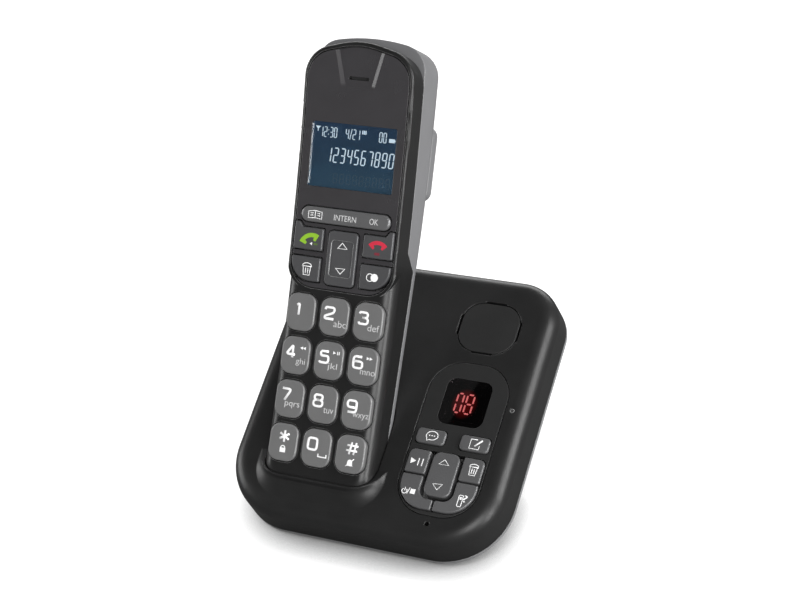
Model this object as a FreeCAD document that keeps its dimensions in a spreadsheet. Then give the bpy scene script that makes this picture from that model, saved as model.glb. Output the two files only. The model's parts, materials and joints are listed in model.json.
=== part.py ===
"""Cordless telephone set with answering machine: a handset standing in its charging base.

All lengths are in millimetres. Two frames carry the pieces:
  slab_frame     the base's top face: X right, Y up the slope, Z out of the face, origin at its middle.
                 It leans back from the table by the tilt.
  handset_frame  the handset's face: X right, Y towards the earpiece, Z out of the face,
                 origin at the middle of the bottom row of keys. The face is a shallow hollow arc.
The origin of the whole set is on the table, in the middle of the set's width and depth.
"""
import FreeCAD, Part
import math
import os
import re
import Sketcher

DOC = FreeCAD.newDocument("AnsweringMachine")

# ---------------------------------------------------------------- driving dimensions
SIZES = [
    ("tilt", 22.0, "angle of the base's top face to the table"),
    ("centre_height", 39.99, "height of the top face's middle above the table"),
    ("depth_shift", 0.0, "moves the set so that its depth is centred on the origin"),
    ("base_width", 112.4, "base, across"),
    ("base_length", 113.8, "base, up the slope"),
    ("base_corner", 26.0, "base, radius of its front corners in plan"),
    ("base_back_corner", 18.0, "base, radius of its back corners in plan"),
    ("slab_height", 16.0, "top shell, height of its wall"),
    ("slab_draft", 2.5, "top shell, draft of its wall"),
    ("slab_edge", 6.5, "top shell, rounding of its top edge"),
    ("base_wall", 2.0, "base shells, side wall"),
    ("top_wall", 2.2, "top shell, top wall"),
    ("seat_depth", 3.2, "top shell, underside of the seats for the panel and the badge"),
    ("parting_gap", 0.3, "joint line between the shells"),
    ("flange", 1.6, "bottom shell, thickness of the rim under the top shell"),
    ("foot_inset", 8.0, "bottom shell, how far the foot stands in from the rim"),
    ("foot_draft", 24.0, "bottom shell, slope of the foot's sides"),
    ("foot_corner", 16.0, "bottom shell, corner radius of the foot"),
    ("foot_reach", 45.0, "bottom shell, depth of the foot before it is cut at the table"),
    ("feet_height", 1.2, "rubber feet, height"),
    ("feet_radius", 5.0, "rubber feet, radius"),
    ("feet_margin", 4.0, "rubber feet, distance from the foot's edge"),
    ("handset_x", -16.9, "handset, middle in the slab frame"),
    ("handset_y", -30.8, "handset, bottom key row in the slab frame"),
    ("handset_rise", 9.0, "handset, height of the bottom key row over the slab"),
    ("handset_lean", 25.2, "handset, angle of its axis to the slab"),
    ("pocket_gap", 0.45, "clearance of the handset in its pocket"),
    ("pocket_wall", 1.8, "pocket, wall"),
    ("pocket_front", 5.5, "pocket, rounding along the handset's front"),
    ("collar_front", 49.8, "collar, front of its foot, from the slab's middle"),
    ("collar_lip", 42.6, "collar, front of its lip"),
    ("collar_height", 4.9, "collar, height of its lip"),
    ("collar_spread", 3.9, "collar, width at its foot beside the pocket"),
    ("collar_band", 1.3, "collar, width at its lip beside the pocket"),
    ("collar_back", 25.3, "collar, where it ends, from the slab's middle"),
    ("collar_fall", 24.0, "collar, slope of its top down to the slab"),
    ("panel_x", 30.8, "panel, axis of all controls on the base"),
    ("panel_y", -14.0, "panel, middle"),
    ("panel_width", 31.8, "panel, across"),
    ("panel_length", 62.4, "panel, up the slope"),
    ("panel_corner", 13.0, "panel, corner radius"),
    ("inlay", 1.6, "panel, badge and window, thickness"),
    ("seat_gap", 0.35, "gap round the panel and the badge"),
    ("lens_gap", 0.1, "gap round the windows"),
    ("window_y", 0.9, "counter window, middle"),
    ("window_width", 18.0, "counter window, across"),
    ("window_length", 19.0, "counter window, up the slope"),
    ("window_corner", 3.5, "counter window, corner radius"),
    ("counter_width", 13.0, "counter display, across"),
    ("counter_length", 13.5, "counter display, up the slope"),
    ("top_key_y", -14.9, "announcement and memo keys, middle"),
    ("top_key_out", 8.8, "announcement and memo keys, distance from the axis"),
    ("top_key_width", 11.6, "announcement and memo keys, across"),
    ("top_key_length", 6.0, "announcement and memo keys, up the slope"),
    ("top_key_corner", 1.6, "announcement and memo keys, corner radius"),
    ("volume_y", -29.1, "volume rocker, middle"),
    ("volume_width", 10.6, "volume rocker, across"),
    ("volume_length", 17.6, "volume rocker, up the slope"),
    ("volume_corner", 3.0, "volume rocker, corner radius"),
    ("wrap_half", 15.0, "wrap-round keys, outer half width"),
    ("wrap_top", -20.6, "wrap-round keys, top"),
    ("wrap_bottom", -43.4, "wrap-round keys, bottom"),
    ("wrap_split", -30.4, "wrap-round keys, line between upper and lower key"),
    ("wrap_inner", 6.7, "wrap-round keys, inner half width"),
    ("wrap_floor", -39.3, "wrap-round keys, inner bottom"),
    ("wrap_corner", 10.4, "wrap-round keys, outer corner radius"),
    ("wrap_bend", 3.8, "wrap-round keys, inner corner radius"),
    ("wrap_shoulder", 2.2, "wrap-round keys, outer radius of the upper keys"),
    ("wrap_lip", 2.4, "wrap-round keys, length of the side lips"),
    ("wrap_foot_lip", 3.0, "wrap-round keys, length of the lower lips"),
    ("key_split", 0.7, "gap between neighbouring wrap-round keys"),
    ("key_gap", 0.45, "gap round every key"),
    ("key_rise", 0.9, "keys, height over the face"),
    ("key_depth", 4.3, "keys, depth below the face"),
    ("key_edge", 0.55, "keys, rounding of the top edge"),
    ("small_corner", 0.6, "keys, radius of the small corners"),
    ("dome_gap", 1.0, "room for the rubber dome under a key"),
    ("lip", 0.8, "keys, width of the lip that holds them behind the face"),
    ("lip_depth", 0.7, "keys, thickness of the lip"),
    ("badge_y", 33.0, "speaker badge, middle"),
    ("badge_width", 23.2, "speaker badge, across"),
    ("badge_length", 20.7, "speaker badge, up the slope"),
    ("badge_corner", 8.0, "speaker badge, corner radius"),
    ("badge_ledge", 2.2, "ledge under the badge's edge"),
    ("slit_length", 9.0, "sound slits, length"),
    ("slit_width", 1.8, "sound slits, width"),
    ("seat_rim", 1.5, "seats, width outside the panel and the badge"),
    ("speaker_radius", 14.0, "loudspeaker, radius"),
    ("speaker_depth", 3.5, "loudspeaker, depth of the basket"),
    ("magnet_radius", 8.0, "loudspeaker, radius of the magnet"),
    ("magnet_depth", 4.6, "loudspeaker, depth of the magnet"),
    ("cone_radius", 12.0, "loudspeaker, radius of the cone"),
    ("cone_throat", 4.0, "loudspeaker, radius of the cone's throat"),
    ("cone_wall", 0.5, "loudspeaker, thickness of the cone"),
    ("light_x", 49.6, "status light, across"),
    ("light_y", 0.9, "status light, up the slope"),
    ("light_radius", 0.8, "status light, radius"),
    ("voice_y", -48.5, "base microphone, up the slope"),
    ("voice_hole", 0.9, "microphone holes, radius"),
    ("voice_radius", 3.0, "microphones, radius"),
    ("board_depth", 8.0, "base board, top below the slab's face"),
    ("board", 1.6, "base board, thickness"),
    ("board_side", 47.9, "base board, half width"),
    ("board_end", 51.0, "base board, half length"),
    ("board_clear", 3.3, "base board, distance from the pocket"),
    ("board_wing", 16.0, "base board, front edge of its left wing"),
    ("screw_inset", 4.6, "base screws, distance from the rim"),
    ("screw_front", -15.0, "base screws, front pair, up the slope"),
    ("screw_back", 25.0, "base screws, rear pair, up the slope"),
    ("boss_radius", 2.8, "screw bosses of the base, radius"),
    ("screw_radius", 1.25, "base screws, radius"),
    ("screw_head", 2.5, "base screws, head radius"),
    ("screw_length", 9.0, "base screws, length under the head"),
    ("cap_height", 1.5, "base screws, height of the head"),
    ("drive_width", 0.6, "base screws, width of the cross slot"),
    ("drive_span", 3.4, "base screws, length of the cross slot"),
    ("drive_depth", 0.7, "base screws, depth of the cross slot"),
    ("thread_fit", 0.05, "radial clearance of a screw in its boss"),
    ("jack_width", 13.0, "sockets at the back, across"),
    ("jack_height", 12.5, "sockets at the back, height"),
    ("jack_depth", 15.5, "sockets at the back, depth"),
    ("jack_x", 16.0, "sockets at the back, distance from the middle"),
    ("jack_z", 15.0, "sockets at the back, height of their middle over the table"),
    ("socket_width", 9.8, "opening of a socket, across"),
    ("socket_height", 6.9, "opening of a socket, height"),
    ("socket_depth", 10.5, "opening of a socket, depth"),
    ("jack_flange", 1.8, "flange of a socket behind the wall"),
    ("flange_rim", 2.0, "flange of a socket, how far it stands out"),
    ("latch_width", 3.2, "latch groove of a socket, width"),
    ("latch_depth", 1.5, "latch groove of a socket, depth over the opening"),
    ("contact_x", 8.0, "charging contacts, distance from the handset's axis"),
    ("contact_z", -11.0, "charging contacts, depth below the handset's face"),
    ("contact_width", 2.6, "charging contacts, width"),
    ("contact_strip", 0.5, "charging contacts, thickness of the strip"),
    ("contact_leaf", 9.0, "charging contacts, length of the strip"),
    ("contact_tip", 3.2, "charging contacts, length of the tip"),
    ("face_radius", 764.0, "handset, radius of its hollow face"),
    ("handset_width", 44.6, "handset, across"),
    ("tail", 17.0, "handset, from the bottom key row to its lower end"),
    ("tail_corner", 9.0, "handset, corner radius of its lower end"),
    ("crown", 151.1, "front housing, from the bottom key row to its upper end"),
    ("crown_corner", 11.5, "front housing, corner radius of its upper end"),
    ("crown_bow", 32.0, "front housing, radius of its upper end in the middle"),
    ("crown_slope", 14.0, "front housing, fall of its upper end to either side, degrees"),
    ("brow", 154.0, "rear housing, from the bottom key row to its upper end"),
    ("brow_corner", 10.0, "rear housing, corner radius of its upper end"),
    ("brow_bow", 76.0, "rear housing, radius of its upper end in the middle"),
    ("brow_slope", 10.0, "rear housing, fall of its upper end to either side, degrees"),
    ("body_depth", 21.6, "handset, thickness of its straight lower part"),
    ("straight_end", 66.0, "handset, where its back starts to curve"),
    ("back_radius", 500.0, "handset, radius of its back"),
    ("handset_wall", 1.8, "handset shells, wall"),
    ("face_wall", 3.0, "handset, thickness behind the face"),
    ("side_round", 5.5, "handset, rounding beside the digit keys"),
    ("rim_round", 1.0, "handset, rounding beside the fascia"),
    ("back_round", 7.0, "handset, rounding along the back"),
    ("split_upper", 9.8, "parting line below the face, upper part"),
    ("split_lower", 13.4, "parting line below the face, lower part"),
    ("step_low", 70.5, "parting line, start of its step"),
    ("step_high", 77.0, "parting line, end of its step"),
    ("fascia_width", 41.2, "fascia, across"),
    ("fascia_foot", 59.3, "fascia, lower end"),
    ("fascia_head", 149.0, "fascia, upper end"),
    ("fascia_bend", 9.5, "fascia, radius of its lower corners"),
    ("fascia_corner", 10.0, "fascia, radius of its upper corners"),
    ("fascia", 1.2, "fascia, thickness"),
    ("fascia_gap", 0.45, "gap round the fascia"),
    ("funnel_top", 9.65, "ear funnel, half width of its floor at the upper end"),
    ("funnel_foot", 5.2, "ear funnel, half width of its floor at the foot"),
    ("funnel_end", 135.5, "ear funnel, its foot"),
    ("funnel_depth", 0.6, "ear funnel, depth"),
    ("funnel_wall", 1.5, "ear funnel, width of its slanted walls"),
    ("funnel_bend", 1.0, "ear funnel, corner radius of its foot"),
    ("ear_y", 138.4, "ear slot, middle"),
    ("ear_width", 8.4, "ear slot, across"),
    ("ear_height", 1.2, "ear slot, height"),
    ("screen_y", 109.3, "display, middle"),
    ("screen_width", 34.6, "display, across"),
    ("screen_length", 24.0, "display, up the handset"),
    ("screen_corner", 0.8, "display, corner radius"),
    ("screen_lens", 1.0, "display window, thickness"),
    ("lcd_width", 36.4, "display module, across"),
    ("lcd_length", 27.6, "display module, up the handset"),
    ("lcd_frame", 2.8, "display module, thickness of its frame"),
    ("column_pitch", 14.0, "digit keys, distance between columns"),
    ("row_pitch", 16.52, "digit keys, distance between rows"),
    ("digit_width", 11.7, "digit keys, across"),
    ("digit_length", 14.2, "digit keys, up the handset"),
    ("digit_corner", 4.0, "digit keys, corner radius"),
    ("cluster_y", 71.3, "navigation rocker, middle, and centre of the function keys"),
    ("cluster_outer", 20.4, "function keys, outer edge"),
    ("cluster_inner", 8.3, "function keys, inner edge"),
    ("call_low", 1.9, "call and end keys, lower edge over the cluster's centre"),
    ("call_high", 10.3, "call and end keys, upper edge"),
    ("call_peak", 12.3, "call and end keys, top of the outer peak"),
    ("peak_run", 1.8, "call and end keys, width of the peak's top"),
    ("peak_slope", 1.4, "call and end keys, width of the peak's slope"),
    ("erase_low", -9.8, "erase and redial keys, lower edge"),
    ("erase_high", -0.7, "erase and redial keys, upper edge"),
    ("erase_corner", 8.0, "erase and redial keys, outer lower radius"),
    ("rocker_width", 12.2, "navigation rocker, across"),
    ("rocker_length", 20.5, "navigation rocker, up the handset"),
    ("rocker_corner", 1.8, "navigation rocker, corner radius"),
    ("dish_width", 9.0, "navigation rocker, inner recess, across"),
    ("dish_length", 13.6, "navigation rocker, inner recess, up the handset"),
    ("dish_corner", 1.2, "navigation rocker, inner recess, corner radius"),
    ("dish_depth", 0.3, "navigation rocker, inner recess, depth"),
    ("bar_y", 86.7, "softkey bar, middle"),
    ("bar_width", 36.5, "softkey bar, across"),
    ("bar_length", 5.8, "softkey bar, up the handset"),
    ("mat_low", -7.6, "keypad mat and board, lower end"),
    ("mat_high", 88.9, "keypad mat, upper end"),
    ("mat_half", 18.8, "keypad mat and board, half width"),
    ("circuit_end", 140.0, "handset board, upper end"),
    ("circuit_depth", 6.0, "handset board, least depth of its top below the face"),
    ("circuit", 1.2, "handset board, thickness"),
    ("ear_radius", 9.0, "earpiece, radius"),
    ("ear_depth", 3.6, "earpiece, thickness"),
    ("hump_y", 111.9, "rear speaker cover, middle"),
    ("hump_width", 43.0, "rear speaker cover, across"),
    ("hump_length", 28.7, "rear speaker cover, up the handset"),
    ("hump_rise", 2.8, "rear speaker cover, height over the back"),
    ("hump_round", 2.4, "rear speaker cover, rounding"),
    ("hump_corner", 4.0, "rear speaker cover, corner radius"),
    ("hump_wall", 1.4, "rear speaker cover, wall"),
    ("hump_inside", 26.0, "rear speaker cover, width of its hollow"),
    ("vent_length", 15.0, "rear speaker cover, length of its slots"),
    ("vent_width", 1.2, "rear speaker cover, width of its slots"),
    ("vent_pitch", 3.2, "rear speaker cover, distance between its slots"),
    ("ringer_radius", 9.5, "rear speaker, radius"),
    ("ringer_depth", 5.0, "rear speaker, thickness"),
    ("cover_half", 14.5, "battery cover, half width"),
    ("cover_low", 30.0, "battery cover, lower edge"),
    ("cover_high", 86.0, "battery cover, upper edge"),
    ("cover_corner", 3.5, "battery cover, corner radius"),
    ("cover_inside", 2.2, "battery cover, thickness at its lower edge"),
    ("ledge", 1.2, "ledge and walls of the battery bay"),
    ("bay_half", 11.4, "battery bay, half width"),
    ("bay_low", 32.2, "battery bay, lower end"),
    ("bay_high", 81.8, "battery bay, upper end"),
    ("bay_top", -8.4, "battery bay, ceiling in the handset frame"),
    ("cell_radius", 5.25, "battery cells, radius"),
    ("cell_length", 44.5, "battery cells, length with the nub"),
    ("cell_x", 5.6, "battery cells, distance from the axis"),
    ("cell_z", -13.9, "battery cells, axis in the handset frame"),
    ("nub", 1.0, "battery cells, height of the nub"),
    ("nub_radius", 1.9, "battery cells, radius of the nub"),
    ("plate", 0.5, "battery contacts, thickness of the plate"),
    ("plate_side", 8.4, "battery contacts, side of the plate"),
    ("spring_foot", 3.0, "battery contacts, radius of the spring's foot"),
    ("spring_tip", 1.6, "battery contacts, radius of the spring's tip"),
    ("spring_rise", 1.6, "battery contacts, height of the spring"),
    ("post_radius", 2.0, "screw posts of the handset, radius"),
    ("pin_radius", 0.9, "handset screws, radius"),
    ("pin_head", 2.0, "handset screws, head radius"),
    ("low_post_x", 11.0, "handset screws, lower pair, across"),
    ("low_post_y", -10.4, "handset screws, lower pair"),
    ("high_post_x", 13.0, "handset screws, upper pair, across"),
    ("high_post_y", 93.2, "handset screws, upper pair"),
]
NAMES = {alias for alias, value, note in SIZES}
SHEET = DOC.addObject("Spreadsheet::Sheet", "Sizes")
for row, (alias, value, note) in enumerate(SIZES, start=1):
    SHEET.set(f"A{row}", note)
    SHEET.set(f"B{row}", str(value))
    SHEET.setAlias(f"B{row}", alias)
DOC.recompute()

PIECES = []
FAR = 60.0          # reach of cutting solids past the pieces
LONG = 200.0
DEEP = "-9"         # start and end of the openings cut through a face
PROUD = "6"
SIDES = (("left", "-"), ("right", ""))


# ---------------------------------------------------------------- expressions and frames
def bound(text):
    """Write a formula of size names as an expression of the sheet's cells."""
    return re.sub(r"[a-z][a-z_]*", lambda m: "Sizes." + m[0] if m[0] in NAMES else m[0], str(text))


def worth(text):
    """Number that a formula of size names has now."""
    found = SHEET.evalExpression(bound(text))
    return float(getattr(found, "Value", found))


def shift(x, y, z, angle="0"):
    """Placement at x, y, z, turned about X by an angle."""
    spot = f"create(<<vector>>; {x}; {y}; {z})"
    turn = f"create(<<rotation>>; create(<<vector>>; 1; 0; 0); {angle})"
    return f"create(<<placement>>; {spot}; {turn})"


def on_face(x, along):
    """Placement in the handset frame: on the hollow face, at a distance along it."""
    angle = f"(({along}) / face_radius * 180 / pi)"
    return shift(x, f"face_radius * sin({angle})", f"face_radius * (1 - cos({angle}))", angle)


def on_back(x, y):
    """Placement in the handset frame: on the curved part of the back, Z towards the face."""
    angle = f"asin((({y}) - straight_end) / back_radius)"
    return shift(x, y, f"back_radius * (1 - cos({angle})) - body_depth", angle)


def frame(name, expression):
    made = DOC.addObject("Part::LocalCoordinateSystem", name)
    made.setExpression("Placement", bound(expression))
    return name + ".Placement"


SLAB = frame("slab_frame", shift("0", "depth_shift", "centre_height", "tilt"))
CRADLE = shift("handset_x", "handset_y", "handset_rise", "handset_lean")
HANDSET = frame("handset_frame", SLAB + " * " + CRADLE)
TABLE = frame("table_frame", shift("0", "depth_shift", "0"))


def put(made, *places):
    """Bind an object's Placement to a chain of placements."""
    made.setExpression("Placement", bound(" * ".join(places)))
    return made


def piece(made, label, *places):
    """Name a finished sub-part, place it and list it for export."""
    made.Label = label
    PIECES.append(put(made, *places) if places else made)
    return made


# ---------------------------------------------------------------- sketches
def new_sketch(body, name, role, offset):
    sketch = body.newObject("Sketcher::SketchObject", body.Name + "_" + name)
    plane = [item for item in body.Origin.OriginFeatures if item.Role == role][0]
    sketch.AttachmentSupport = [(plane, "")]
    sketch.MapMode = "FlatFace"
    sketch.setExpression("AttachmentOffset.Base.z", bound(offset))
    return sketch


def pin_down(sketch, kind, *items):
    """Add a constraint whose last item is a formula, and bind it to the sheet."""
    number = sketch.addConstraint(Sketcher.Constraint(kind, *items[:-1], worth(items[-1])))
    sketch.setExpression(f"Constraints[{number}]", bound(items[-1]))


def outline(body, corners, name="outline", role="XY_Plane", offset="0"):
    """Closed sketch through corners given as (x, y, radius); each corner point is bound."""
    sketch = new_sketch(body, name, role, offset)
    rule = Sketcher.Constraint
    points = [FreeCAD.Vector(worth(x), worth(y), 0) for x, y, radius in corners]
    radii = [worth(radius) for x, y, radius in corners]
    count = len(corners)
    bends = []
    for i, point in enumerate(points):
        back = (points[i - 1] - point).normalize()
        ahead = (points[(i + 1) % count] - point).normalize()
        half = back.getAngle(ahead) / 2
        run = radii[i] / math.tan(half)
        middle = point + (back + ahead).normalize() * (radii[i] / math.sin(half))
        bends.append((point + back * run, point + ahead * run, middle, back.cross(ahead).z < 0))
    for i in range(count):
        sketch.addGeometry(Part.LineSegment(bends[i][1], bends[(i + 1) % count][0]))
    for i, (enter, leave, middle, left) in enumerate(bends):
        target = (i, 1)
        if radii[i] > 0:
            first, last = (enter, leave) if left else (leave, enter)
            start = math.atan2(first.y - middle.y, first.x - middle.x)
            stop = math.atan2(last.y - middle.y, last.x - middle.x)
            stop += 2 * math.pi if stop < start else 0
            circle = Part.Circle(middle, FreeCAD.Vector(0, 0, 1), radii[i])
            arc = sketch.addGeometry(Part.ArcOfCircle(circle, start, stop))
            near, far = (1, 2) if left else (2, 1)
            sketch.addConstraint(rule("Tangent", (i - 1) % count, 2, arc, near))
            sketch.addConstraint(rule("Tangent", arc, far, i, 1))
            pin_down(sketch, "Radius", arc, corners[i][2])
            spot = sketch.addGeometry(Part.Point(points[i]), True)
            sketch.addConstraint(rule("PointOnObject", spot, 1, (i - 1) % count))
            sketch.addConstraint(rule("PointOnObject", spot, 1, i))
            target = (spot, 1)
        else:
            sketch.addConstraint(rule("Coincident", (i - 1) % count, 2, i, 1))
        pin_down(sketch, "DistanceX", -1, 1, *target, corners[i][0])
        pin_down(sketch, "DistanceY", -1, 1, *target, corners[i][1])
    return sketch


def profile(body, name, loops, half):
    """Sketch on the YZ plane. Each loop lists (y, z, arc): the arc (y, z, radius) or None leaves the
    point, and a point that touches an arc is held by its y alone."""
    sketch = new_sketch(body, name, "YZ_Plane", f"-{half}")
    rule = Sketcher.Constraint
    for loop in loops:
        points = [FreeCAD.Vector(worth(y), worth(z), 0) for y, z, arc in loop]
        ends = []
        for i, (y, z, arc) in enumerate(loop):
            a, b = points[i], points[(i + 1) % len(loop)]
            if arc is None:
                ends.append((sketch.addGeometry(Part.LineSegment(a, b)), 1, 2))
                continue
            middle = FreeCAD.Vector(worth(arc[0]), worth(arc[1]), 0)
            turns = [math.atan2(p.y - middle.y, p.x - middle.x) for p in (a, b)]
            circle = Part.Circle(middle, FreeCAD.Vector(0, 0, 1), worth(arc[2]))
            curve = sketch.addGeometry(Part.ArcOfCircle(circle, min(turns), max(turns)))
            ends.append((curve, 1, 2) if turns[0] < turns[1] else (curve, 2, 1))
            pin_down(sketch, "DistanceX", -1, 1, curve, 3, arc[0])
            pin_down(sketch, "DistanceY", -1, 1, curve, 3, arc[1])
            pin_down(sketch, "Radius", curve, arc[2])
        for i, (y, z, arc) in enumerate(loop):
            edge, first, last = ends[i]
            before = ends[i - 1]
            sketch.addConstraint(rule("Coincident", before[0], before[2], edge, first))
            pin_down(sketch, "DistanceX", -1, 1, edge, first, y)
            if arc is None and loop[i - 1][2] is None:
                pin_down(sketch, "DistanceY", -1, 1, edge, first, z)
    return sketch


def rect(width, length, corner, x="0", y="0"):
    """Corners of a rounded rectangle about x, y."""
    left, right = f"({x}) - ({width}) / 2", f"({x}) + ({width}) / 2"
    low, high = f"({y}) - ({length}) / 2", f"({y}) + ({length}) / 2"
    return [(left, low, corner), (right, low, corner), (right, high, corner), (left, high, corner)]


def mirrored(corners):
    """The same corners on the other side of the axis."""
    return [(f"-({x})", y, radius) for x, y, radius in reversed(corners)]


def moved(corners, x, y="0"):
    """The same corners, moved by x, y."""
    return [(f"({a}) + ({x})", f"({b}) + ({y})", radius) for a, b, radius in corners]


# ---------------------------------------------------------------- solids
def rounded(body, feature, chosen, radius):
    """Round the edges that a test picks."""
    DOC.recompute()
    names = [f"Edge{i}" for i, edge in enumerate(feature.Shape.Edges, start=1) if chosen(edge)]
    fillet = body.newObject("PartDesign::Fillet", body.Name + "_round")
    fillet.Base = (feature, names)
    fillet.setExpression("Radius", bound(radius))
    return fillet


def level(height):
    """Test for edges that lie at one height."""
    return lambda edge: all(abs(corner.Z - height) < 1e-5 for corner in edge.Vertexes)


def prism(name, corners, low, high, top=None, bottom=None, draft="0", role="XY_Plane"):
    """Body: an outline padded from low to high, with its top or bottom edge rounded."""
    body = DOC.addObject("PartDesign::Body", name)
    pad = body.newObject("PartDesign::Pad", name + "_pad")
    pad.Profile = outline(body, corners, role=role, offset=low)
    pad.setExpression("Length", bound(f"({high}) - ({low})"))
    pad.setExpression("TaperAngle", bound(draft))
    last = pad
    if top:
        last = rounded(body, last, level(worth(high)), top)
    if bottom:
        last = rounded(body, last, level(worth(low)), bottom)
    return body


def slice_of(name, loops, half):
    """Body: a side profile padded to both sides of the middle plane."""
    body = DOC.addObject("PartDesign::Body", name)
    pad = body.newObject("PartDesign::Pad", name + "_pad")
    pad.Profile = profile(body, "profile", loops, half)
    pad.setExpression("Length", bound(f"2 * {half}"))
    return body


def loft(name, *sections):
    """Body: a loft through outlines given as (corners, level): straight-sided for two, curved for more."""
    body = DOC.addObject("PartDesign::Body", name)
    made = [outline(body, corners, f"section_{i}", offset=level)
            for i, (corners, level) in enumerate(sections)]
    skin = body.newObject("PartDesign::AdditiveLoft", name + "_loft")
    skin.Profile = made[0]
    skin.Sections = made[1:]
    skin.Ruled = len(sections) == 2
    return body


def cylinder(name, radius, height, *places):
    made = DOC.addObject("Part::Cylinder", name)
    made.setExpression("Radius", bound(radius))
    made.setExpression("Height", bound(height))
    return put(made, *places)


def cone(name, low_radius, high_radius, height, *places):
    made = DOC.addObject("Part::Cone", name)
    made.setExpression("Radius1", bound(low_radius))
    made.setExpression("Radius2", bound(high_radius))
    made.setExpression("Height", bound(height))
    return put(made, *places)


def block(name, width, length, height, *places):
    """Box centred on its place across and along, standing on it."""
    made = DOC.addObject("Part::Box", name)
    made.setExpression("Length", bound(width))
    made.setExpression("Width", bound(length))
    made.setExpression("Height", bound(height))
    return put(made, *places, shift(f"-({width}) / 2", f"-({length}) / 2", "0"))


def fuse(name, parts):
    made = DOC.addObject("Part::MultiFuse", name)
    made.Shapes = parts
    return made


def common(name, parts):
    made = DOC.addObject("Part::MultiCommon", name)
    made.Shapes = parts
    return made


def cut(name, base, tools):
    made = DOC.addObject("Part::Cut", name)
    made.Base = base
    made.Tool = tools[0] if len(tools) == 1 else fuse(name + "_tools", tools)
    return made


def group(name, parts):
    made = DOC.addObject("Part::Compound", name)
    made.Links = parts
    return made


# ---------------------------------------------------------------- base: shells
FOOT_TOP = "(slab_height + parting_gap)"
FOOT_BACK = "(base_length / 2 - foot_inset)"
FOOT_SIDE = "(base_width / 2 - foot_inset)"
BACK_WALL = f"({FOOT_BACK} * cos(tilt) + {FOOT_TOP} * sin(tilt))"
FRONT_RISE = f"(centre_height - feet_height - {FOOT_BACK} * sin(tilt))"
FRONT_WALL = f"({FRONT_RISE} * tan(tilt) - {FOOT_BACK} * cos(tilt))"
BACK_DROP = f"(centre_height + {FOOT_BACK} * sin(tilt) - {FOOT_TOP} * cos(tilt) - feet_height)"
SCREW_X = "(base_width / 2 - screw_inset)"
SCREW_SPOTS = [(side, y) for side in ("-", "") for y in ("screw_front", "screw_back")]


def base_plan(inset):
    """Outline of the base, set in all round; its front corners are rounder than its back corners."""
    half, end = f"(base_width / 2 - {inset})", f"(base_length / 2 - {inset})"
    front, back = f"base_corner - {inset}", f"base_back_corner - {inset}"
    return [(f"-{half}", f"-{end}", front), (half, f"-{end}", front), (half, end, back),
            (f"-{half}", end, back)]


def panel_form(name, grow, low, high):
    """Plan of the control panel, grown all round, from low to high."""
    corners = rect(f"panel_width + 2 * {grow}", f"panel_length + 2 * {grow}", f"panel_corner + {grow}",
                   "panel_x", "panel_y")
    return prism(name, corners, low, high)


def badge_form(name, grow, low, high, top=None):
    """Plan of the speaker badge, grown all round, from low to high."""
    corners = rect(f"badge_width + 2 * {grow}", f"badge_length + 2 * {grow}", f"badge_corner + {grow}",
                   "panel_x", "badge_y")
    return prism(name, corners, low, high, top=top)


def window_form(name, grow, low, high):
    """Plan of the counter window, grown all round, from low to high."""
    corners = rect(f"window_width + 2 * {grow}", f"window_length + 2 * {grow}", f"window_corner + {grow}",
                   "panel_x", "window_y")
    return prism(name, corners, low, high)


def pocket_form(name, grow, length):
    """Space of the handset's lower end, grown all round and open upwards."""
    half = f"handset_width / 2 + {grow}"
    end = f"-(tail + {grow})"
    corners = [(f"-({half})", end, f"tail_corner + {grow}"), (half, end, f"tail_corner + {grow}"),
               (half, length, "0"), (f"-({half})", length, "0")]
    return put(prism(name, corners, f"-(body_depth + {grow})", f"{grow}", top=f"pocket_front + {grow}",
                     bottom=f"back_round + {grow}"), CRADLE)


def collar():
    """Raised collar round the handset's foot, hollow-sided, its top falling towards the back."""
    def ring(share):
        front = f"(collar_lip + (collar_front - collar_lip) * {share})"
        beside = f"(collar_band + (collar_spread - collar_band) * {share})"
        half = f"(handset_width / 2 + pocket_gap + {beside})"
        return [(f"handset_x - {half}", f"-{front}", f"tail_corner + {beside}"),
                (f"handset_x + {half}", f"-{front}", f"tail_corner + {beside}"),
                (f"handset_x + {half}", "-collar_back", "1"), (f"handset_x - {half}", "-collar_back", "1")]
    mound = loft("collar_mound", (ring("1.3"), "-0.6"), (ring("0.75"), "0.08 * collar_height"),
                 (ring("0.35"), "0.35 * collar_height"), (ring("0"), "collar_height + 1"))
    fall = block("collar_fall_cut", FAR * 2, FAR * 2, FAR,
                 shift("handset_x", "-collar_lip", "collar_height", "-collar_fall"))
    return cut("collar_form", mound, [fall])


def base_openings():
    """Openings that the panel and the shell's seat share."""
    reach = f"-{FAR / 4}"
    made = []
    for name, side in SIDES:
        corners = rect("top_key_width + 2 * key_gap", "top_key_length + 2 * key_gap",
                       "top_key_corner + key_gap", f"panel_x + ({side}top_key_out)", "top_key_y")
        made.append(prism(f"top_key_hole_{name}", corners, reach, PROUD))
    low, high = "wrap_bottom - key_gap", "wrap_top + key_gap"
    left, right = "panel_x - wrap_half - key_gap", "panel_x + wrap_half + key_gap"
    wrap = [(left, low, "wrap_corner + key_gap"), (right, low, "wrap_corner + key_gap"),
            (right, high, "wrap_shoulder + key_gap"), (left, high, "wrap_shoulder + key_gap")]
    made.append(prism("wrap_hole", wrap, reach, PROUD))
    volume = rect("volume_width + 2 * key_gap", "volume_length + 2 * key_gap",
                  "volume_corner + key_gap", "panel_x", "volume_y")
    made.append(prism("volume_hole", volume, reach, PROUD))
    return fuse("base_key_holes", made)


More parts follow.
